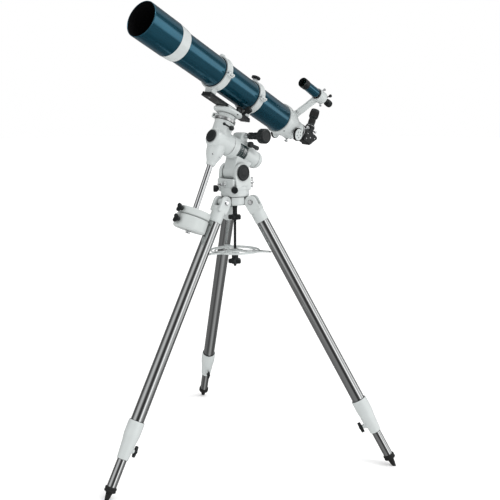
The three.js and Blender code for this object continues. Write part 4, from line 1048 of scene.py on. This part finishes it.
def focuser():
    draw = Shape("chrome")
    draw.lathe([(24.3, -408), (24.3, -312.2), (25.95, -312.2), (25.95, -404.4), (31, -405.2), (31.6, -407),
                (31.6, -411.5), (30.8, -412.5), (30.8, -414.5), (31.6, -415.5), (31.6, -422), (30, -423.9),
                (16.8, -423.9), (16.8, -410, "flocked")], turn=FORWARD, soft=0.5, sides=128)
    draw.box((-5.5, 322, -25.9), (5.5, 403, -24.6), mat="machined", bevel=0.3)
    for k in range(50):
        draw.box((-4.6, 323 + 1.6 * k, -26.25), (4.6, 323.8 + 1.6 * k, -25.6), mat="machined", bevel=0)
    piece("drawtube_barrel", draw, OTA, "drawtube", "focuser_drawtube")
    collar = Shape("anodised")
    collar.lathe([(31.3, -421), (33, -421), (33.4, -419), (33.4, -408.6), (32.6, -407.4), (31.3, -407.4)],
                 turn=FORWARD, soft=0.5, sides=128)
    piece("drawtube_collar", collar, OTA, "drawtube")
    screws = Shape("chrome")
    for angle in (-62, 58):
        screws.thread(2.4, 31, 42, 1.1, at=(0, 414.5, 0), turn=(0, angle, 0))
        screws.lobed(knurl(5, 20, 0.4), domed(39.5, 46, 1), at=(0, 414.5, 0), turn=(0, angle, 0), sides=80)
    piece("drawtube_screws", screws, OTA, "drawtube")

    where = OTA @ place((0, PINION_L, PINION_U), RIGHT)
    for side, name in ((1, "right"), (-1, "left")):
        turn = (0, 90 - 90 * side, 0)
        disc = Shape("white")
        disc.lathe([(0, 43.7), (4, 43.7), (8, 44.2), (10, 46.6), (20, 47.2), (22.4, 50.2), (22.4, 57.6),
                    (20.8, 60.4), (18.6, 60.9), (16.4, 60.4), (7.4, 60.4), (6.4, 62), (0, 62.2)],
                   turn=turn, soft=0.8, sides=128)
        cuts = Shape("plastic")
        for k in range(5):
            a = radians(72 * k + 20)
            x = 11.6 * cos(a)
            cuts.rod(2.7, 54.5, 66, at=(x if side > 0 else -x, 11.6 * sin(a), 0), turn=turn, sides=32,
                     soft=0)
        piece(f"focus_disc_{name}", machined(disc, cuts), where, "focus_shaft", "focus_knobs")
        band = Shape("rubber")
        band.lobed(knurl(24.3, 60, 0.9), [(49.6, 0.92), (50.4, 0.985), (51.6, 1.0), (57, 1.0), (58.2, 0.985),
                                          (58.9, 0.92)], turn=turn, sides=480)
        bore = Shape("rubber")
        bore.rod(22.3, 40, 70, turn=turn, sides=128, soft=0)
        piece(f"focus_band_{name}", machined(band, bore), where, "focus_shaft", sharp=50)
    shaft = Shape("chrome")
    shaft.rod(3.8, -45, 45, sides=32)
    for side in (-1, 1):
        shaft.rod(2.2, 61.6, 63, turn=(0, 90 - 90 * side, 0), sides=24, soft=0.4)
    piece("focus_axle", shaft, where, "focus_shaft")


def star_diagonal():
    body = Shape("plastic")
    body.turned([(19.5, -438), (19.5, -424.5), (15.9, -424.5), (15.9, -412)], turn=FORWARD, soft=0.6)
    outline = [(434, -22), (472, -22), (478, -26), (484, -22), (516, 14), (512, 22), (492, 24), (434, 24)]
    body.plate(outline, -18.4, 18.4, turn=(90, 0, 90), bevel=2.2)
    body.rod(17.9, 22, 45.8, at=(0, DIAGONAL_L, 0), soft=1)
    for turn in (RIGHT, LEFT):
        body.rod(3.6, 17, 21, at=(0, 481.5, -7), turn=turn, sides=32)
    cuts = Shape("flocked")
    cuts.rod(16.1, 30, 60, at=(0, DIAGONAL_L, 0), sides=64, soft=0)
    piece("diagonal_shell", cast(body, 0.8, 4, 0.4, cuts), OTA, "diagonal", "star_diagonal")
    nose = Shape("chrome")
    nose.lathe([(13.6, -424.2), (15.9, -424.2), (15.9, -411.8), (15.4, -411), (14, -411), (13.6, -411.6)],
               turn=FORWARD, soft=0.3)
    piece("diagonal_nose", nose, OTA, "diagonal")
    rims = Shape("anodised")
    rims.lathe([(16.3, 40.4), (18.7, 40.4), (19.1, 41.6), (19.1, 44.8), (18.4, 46.2), (16.3, 46.2)],
               at=(0, DIAGONAL_L, 0), soft=0.3)
    rims.lathe([(17.8, 22.8), (20.4, 22.8), (20.4, 25.4), (17.8, 26.4)], at=(0, DIAGONAL_L, 0), soft=0.4)
    for x in (-18.9, 18.3):
        rims.plate([(441, -14), (470, -14), (480, -16), (503, 10), (500, 16), (441, 16)], x, x + 0.6,
                   turn=(90, 0, 90), bevel=0.2)
    piece("diagonal_rims", rims, OTA, "diagonal")
    screws = Shape("chrome")
    for angle in (-70, 62):
        screws.thread(2.3, 17.6, 28, 1.1, at=(0, DIAGONAL_L, 35), turn=(0, 90, angle))
        screws.lobed(knurl(4.8, 20, 0.4), domed(25.4, 32, 1), at=(0, DIAGONAL_L, 35), turn=(0, 90, angle),
                     sides=80)
    for turn in (RIGHT, LEFT):
        for y, z in ((446, -9), (446, 11), (489, -10), (497, 9)):
            screws.rod(2.3, 18.4, 20, at=(0, y, z), turn=turn, sides=24, soft=0.5)
        screws.rod(3.1, 18.4, 20.4, at=(0, 468, 2), turn=turn, sides=32, soft=0.6)
    piece("diagonal_screws", screws, OTA, "diagonal")

    where = OTA @ place((0, DIAGONAL_L, 0))
    eye = Shape("plastic")
    eye.turned([(17, 46.5), (17.2, 47.4), (17.2, 51), (16.6, 52.2), (13.8, 55), (13.4, 58), (13.2, 79),
                (14.2, 81), (17, 84.6), (17.6, 87.6), (17.6, 94), (17.6, 108), (16.6, 115), (13, 118.2),
                (11.6, 117.6), (10.6, 115), (8.8, 113.6)], soft=0.7)
    piece("eyepiece_body", eye, where, "diagonal", "eyepiece")
    grip = Shape("rubber")
    grip.lobed(knurl(18.3, 40, 0.7), [(88, 0.955), (88.8, 0.99), (90, 1.0), (105, 1.0), (106.4, 0.99),
                                      (107.4, 0.955)], sides=320)
    grip.lobed(knurl(14.1, 32, 0.5), [(60, 0.95), (61, 1.0), (75, 1.0), (76, 0.95)], sides=256)
    piece("eyepiece_grip", grip, where, "diagonal", sharp=50)
    barrel = Shape("chrome")
    barrel.ring(15.8, 14.2, 32.2, 46.8, soft=0.4)
    barrel.ring(17.45, 17.1, 48.6, 49.8, soft=0)
    piece("eyepiece_barrel", barrel, where, "diagonal")
    lens = Shape("glass")
    lens.lathe([(0, 113.4), (8.6, 113.4), (8.6, 114), (6, 115.2), (0, 115.9)], soft=0)
    piece("eyepiece_lens", lens, where, "diagonal", weighted=False)


# ---- Finder ---------------------------------------------------------------------------------
FINDER_HEIGHT = 163
FINDER_SCREWS = ((304, 0), (328, 120), (328, 240))   # distance back from the saddle, angle


def finder():
    where = OTA @ place(turn=(0, 45, 0))
    bracket = Shape()
    bracket.box((-8, 304, 60.9), (8, 326, 67), bevel=1.6)
    bracket.plate([(-11, 61), (11, 61), (16, 73), (14, 104), (16, 144), (-16, 144), (-14, 104), (-16, 73)],
                  -5, 5, at=(0, 315, 0), turn=(90, 0, 90), bevel=2)
    bracket.ring(22.4, 17, -336, -296, at=(0, 0, FINDER_HEIGHT), turn=FORWARD, soft=1.2)
    for y, angle in FINDER_SCREWS:
        bracket.rod(5, 19.5, 24.6, at=(0, y, FINDER_HEIGHT), turn=(0, angle, 0), soft=1)
    cuts = Shape()
    cuts.rod(18.6, -360, -270, at=(0, 0, FINDER_HEIGHT), turn=FORWARD, sides=96, soft=0)
    piece("finder_arm", cast(bracket, 0.7, 4, 0.45, cuts), where, "finder", "finder_bracket")

    at = (0, 0, FINDER_HEIGHT)
    scope = Shape("blue", turn=FORWARD)
    scope.lathe([(0, -367, "plastic"), (10, -367), (10, -344), (12, -340), (12, -298.5, "blue"),
                 (12.4, -297), (16.8, -286), (17.4, -284), (16.4, -222), (0, -222)], at=at, soft=0.8)
    scope.lathe([(14.4, -222.2), (16.6, -222.2), (17.8, -219.4), (17.8, -196), (17.3, -195), (15.9, -195),
                 (15.9, -214, "flocked"), (14.4, -215)], at=at, mat="plastic", soft=0.4)
    piece("finder_tube", scope, where, "finder", "finder_scope")
    black = Shape("plastic", turn=FORWARD)
    black.turned([(9.6, -392), (11.8, -391.6), (12.6, -389), (12.6, -368), (11.6, -366)], at=at, soft=0.6)
    black.lobed(knurl(13.1, 32, 0.5), [(-387.4, 0.955), (-386.6, 1.0), (-371, 1.0), (-370, 0.955)], at=at,
                sides=256)
    black.ring(12.9, 11.8, -344.4, -340.2, at=at, soft=0.3)
    black.ring(18.2, 17.3, -205, -202.6, at=at, soft=0.3)
    piece("finder_ends", black, where, "finder", sharp=45)
    lenses = Shape("glass", turn=FORWARD, soft=0)
    lenses.lathe([(0, -216), (15.6, -216), (15.6, -212.4), (8, -210.6), (0, -210)], at=at)
    lenses.lathe([(0, -393.4), (5, -393), (6.6, -392), (6.6, -391), (0, -391)], at=at)
    piece("finder_lenses", lenses, where, "finder", weighted=False)
    screws = Shape("chrome")
    for y, angle in FINDER_SCREWS:
        screws.thread(2, 12, 30, 1, at=(0, y, FINDER_HEIGHT), turn=(0, angle, 0))
        screws.lobed(knurl(4.6, 18, 0.4), domed(27.5, 34, 1), at=(0, y, FINDER_HEIGHT),
                     turn=(0, angle, 0), sides=72)
    for y in (308, 322):
        for x in (5.4, -5.4):
            screws.rod(2.2, 66.6, 68, at=(x, y, 0), sides=24, soft=0.4)
    piece("finder_screws", screws, where, "finder")
    tip = Shape("plastic")
    tip.lobed(knurl(5.6, 18, 0.5), domed(28, 36.4, 1.2), at=(0, 340, FINDER_HEIGHT), turn=(0, 20, 0),
              sides=72)
    tip.rod(2.2, 12, 30, at=(0, 340, FINDER_HEIGHT), turn=(0, 20, 0), sides=24)
    piece("finder_spring_screw", tip, where, "finder")


# ---- Assembly -------------------------------------------------------------------------------
tripod_hub()
hub_knobs()
tray()
for index, leg_azimuth in enumerate(LEG_AZIMUTHS):
    leg(index + 1, leg_azimuth)
mount_base()
polar_head()
declination_head()
counterweights()
saddle()
tube_ring("front_ring", "ring_front", 111, "ring_front_top")
tube_ring("rear_ring", "ring_rear", -80.5, "ring_rear_top")
camera_knob()
optical_tube()
rear_casting()
focuser()
star_diagonal()
finder()


# ---- Floor, camera and light ----------------------------------------------------------------
def floor():
    mat, nodes, links, shader = new_material("pale floor")
    tone = ramp(nodes, links, grain(nodes, links, 3, 2), [(0.3, (0.96, 0.96, 0.96)),
                                                          (0.7, (0.99, 0.99, 0.99))])
    links.new(tone, shader.inputs["Base Color"])
    shader.inputs["Roughness"].default_value = 0.85
    shader.inputs["Emission Color"].default_value = (1, 1, 1, 1)
    shader.inputs["Emission Strength"].default_value = 0.12
    mesh = bpy.data.meshes.new("floor")
    mesh.from_pydata([(-40, -40, 0), (40, -40, 0), (40, 40, 0), (-40, 40, 0)], [], [(0, 1, 2, 3)])
    mesh.materials.append(mat)
    local = mesh.attributes.new("local", "FLOAT_VECTOR", "POINT")
    for vertex, value in zip(mesh.vertices, local.data):
        value.vector = vertex.co
    obj = bpy.data.objects.new("floor", mesh)
    obj.visible_glossy = False
    scene.collection.objects.link(obj)


# Where the viewer stands, in metres, and the directions to the viewer's right and back.
VIEWER_AT = (1.9793, -1.8758, 1.2404)
VIEWER_RIGHT, VIEWER_BACK = (0.7023, 0.7119, -0.0016), (0.6962, -0.6863, 0.2103)


def camera():
    data = bpy.data.cameras.new("camera")
    data.sensor_width = 36
    data.lens = 55.54
    data.shift_x, data.shift_y = 0.0233, 0.0667
    data.clip_start, data.clip_end = 0.05, 200
    right = Vector(VIEWER_RIGHT).normalized()
    back = Vector(VIEWER_BACK).normalized()
    up = back.cross(right).normalized()
    right = up.cross(back)
    turn = Matrix((right, up, back)).transposed().to_4x4()
    obj = bpy.data.objects.new("camera", data)
    obj.matrix_world = Matrix.Translation(VIEWER_AT) @ turn
    scene.collection.objects.link(obj)
    scene.camera = obj


def sun(name, azimuth, elevation, strength, softness):
    """A soft distant light that comes from this direction, in degrees."""
    data = bpy.data.lights.new(name, "SUN")
    data.energy = strength
    data.angle = radians(softness)
    obj = bpy.data.objects.new(name, data)
    a, e = radians(azimuth), radians(elevation)
    back = Vector((cos(a) * cos(e), sin(a) * cos(e), sin(e)))
    obj.rotation_euler = back.to_track_quat("Z", "Y").to_euler()
    scene.collection.objects.link(obj)


# Brightness round the horizon at four heights, as (degrees, level): soft boxes and dark flats.
HORIZON = [(-180, 0.20), (-165, 0.20), (-152, 0.07), (-140, 0.15), (-126, 0.40), (-112, 0.72),
           (-98, 0.90), (-80, 0.90), (-68, 0.40), (-60, 0.20), (-50, 0.08), (-36, 0.04), (-26, 0.08),
           (-18, 0.20), (-10, 0.70), (-4, 1.90), (6, 1.90), (10, 0.80), (38, 0.70), (42, 1.70),
           (56, 1.70), (60, 0.15), (74, 0.15), (80, 0.50), (92, 0.50), (102, 0.30), (120, 0.22),
           (180, 0.20)]
MIDDLE = [(-180, 0.25), (-150, 0.20), (-120, 0.27), (-80, 0.30), (-50, 0.24), (-20, 0.16), (-10, 0.60),
          (0, 0.90), (10, 0.50), (36, 0.32), (60, 0.26), (70, 0.15), (100, 0.20), (180, 0.25)]
GROUND = [(-180, 0.12), (-100, 0.12), (-60, 0.40), (0, 0.60), (30, 0.34), (60, 0.10), (100, 0.10),
          (180, 0.12)]
SIDES = [(-180, 0.55), (-120, 0.50), (-60, 0.70), (0, 1.0), (60, 1.0), (120, 0.80), (180, 0.55)]


def ring_of_light(nodes, links, turn, stops):
    """Brightness round the horizon, from (degrees, level) stops."""
    node = nodes.new("ShaderNodeValToRGB")
    while len(node.color_ramp.elements) < len(stops):
        node.color_ramp.elements.new(0.5)
    for element, (angle, level) in zip(node.color_ramp.elements, stops):
        element.position = (angle + 180) / 360
        element.color = (level, level, level, 1)
    links.new(turn, node.inputs[0])
    return node.outputs[0]


def by_height(nodes, links, height, low, high, below, above):
    """One light below a height and another above it, with a soft step between."""
    step = nodes.new("ShaderNodeMapRange")
    step.interpolation_type = "SMOOTHSTEP"
    step.inputs["From Min"].default_value = low
    step.inputs["From Max"].default_value = high
    links.new(height, step.inputs["Value"])
    mix = nodes.new("ShaderNodeMix")
    mix.data_type = "RGBA"
    links.new(step.outputs[0], mix.inputs["Factor"])
    for socket, light in (("A", below), ("B", above)):
        if isinstance(light, float):
            mix.inputs[socket].default_value = (light, light, light, 1)
        else:
            links.new(light, mix.inputs[socket])
    return mix.outputs["Result"]


def world():
    """A white backdrop, even soft light, and for reflections a ring of soft boxes and dark flats."""
    made = bpy.data.worlds.new("studio")
    made.use_nodes = True
    nodes, links = made.node_tree.nodes, made.node_tree.links
    nodes.clear()
    out = nodes.new("ShaderNodeOutputWorld")
    where = nodes.new("ShaderNodeTexCoord")
    parts = nodes.new("ShaderNodeSeparateXYZ")
    links.new(where.outputs["Generated"], parts.inputs[0])
    angle = nodes.new("ShaderNodeMath")
    angle.operation = "ARCTAN2"
    links.new(parts.outputs["Y"], angle.inputs[0])
    links.new(parts.outputs["X"], angle.inputs[1])
    turn = nodes.new("ShaderNodeMapRange")
    turn.inputs["From Min"].default_value = -pi
    turn.inputs["From Max"].default_value = pi
    links.new(angle.outputs[0], turn.inputs["Value"])

    horizon = ring_of_light(nodes, links, turn.outputs[0], HORIZON)
    middle = ring_of_light(nodes, links, turn.outputs[0], MIDDLE)
    ground = ring_of_light(nodes, links, turn.outputs[0], GROUND)
    lower = by_height(nodes, links, parts.outputs["Z"], -0.80, -0.66, ground, middle)
    lower = by_height(nodes, links, parts.outputs["Z"], -0.36, -0.22, lower, horizon)
    studio = by_height(nodes, links, parts.outputs["Z"], 0.55, 0.75, lower, 1.0)
    sides = ring_of_light(nodes, links, turn.outputs[0], SIDES)
    soft = by_height(nodes, links, parts.outputs["Z"], 0.0, 0.7, sides, 0.95)

    lights = []
    for colour in (studio, soft, None):
        light = nodes.new("ShaderNodeBackground")
        if colour is None:
            light.inputs["Color"].default_value = (1, 1, 1, 1)
        else:
            links.new(colour, light.inputs["Color"])
        lights.append(light.outputs[0])
    path = nodes.new("ShaderNodeLightPath")
    reflected = nodes.new("ShaderNodeMixShader")
    links.new(path.outputs["Is Glossy Ray"], reflected.inputs[0])
    links.new(lights[1], reflected.inputs[1])
    links.new(lights[0], reflected.inputs[2])
    seen = nodes.new("ShaderNodeMixShader")
    links.new(path.outputs["Is Camera Ray"], seen.inputs[0])
    links.new(reflected.outputs[0], seen.inputs[1])
    links.new(lights[2], seen.inputs[2])
    links.new(seen.outputs[0], out.inputs[0])
    scene.world = made


floor()
camera()
world()
sun("key", 15, 52, 0.95, 30)
scene.view_settings.view_transform = "Standard"
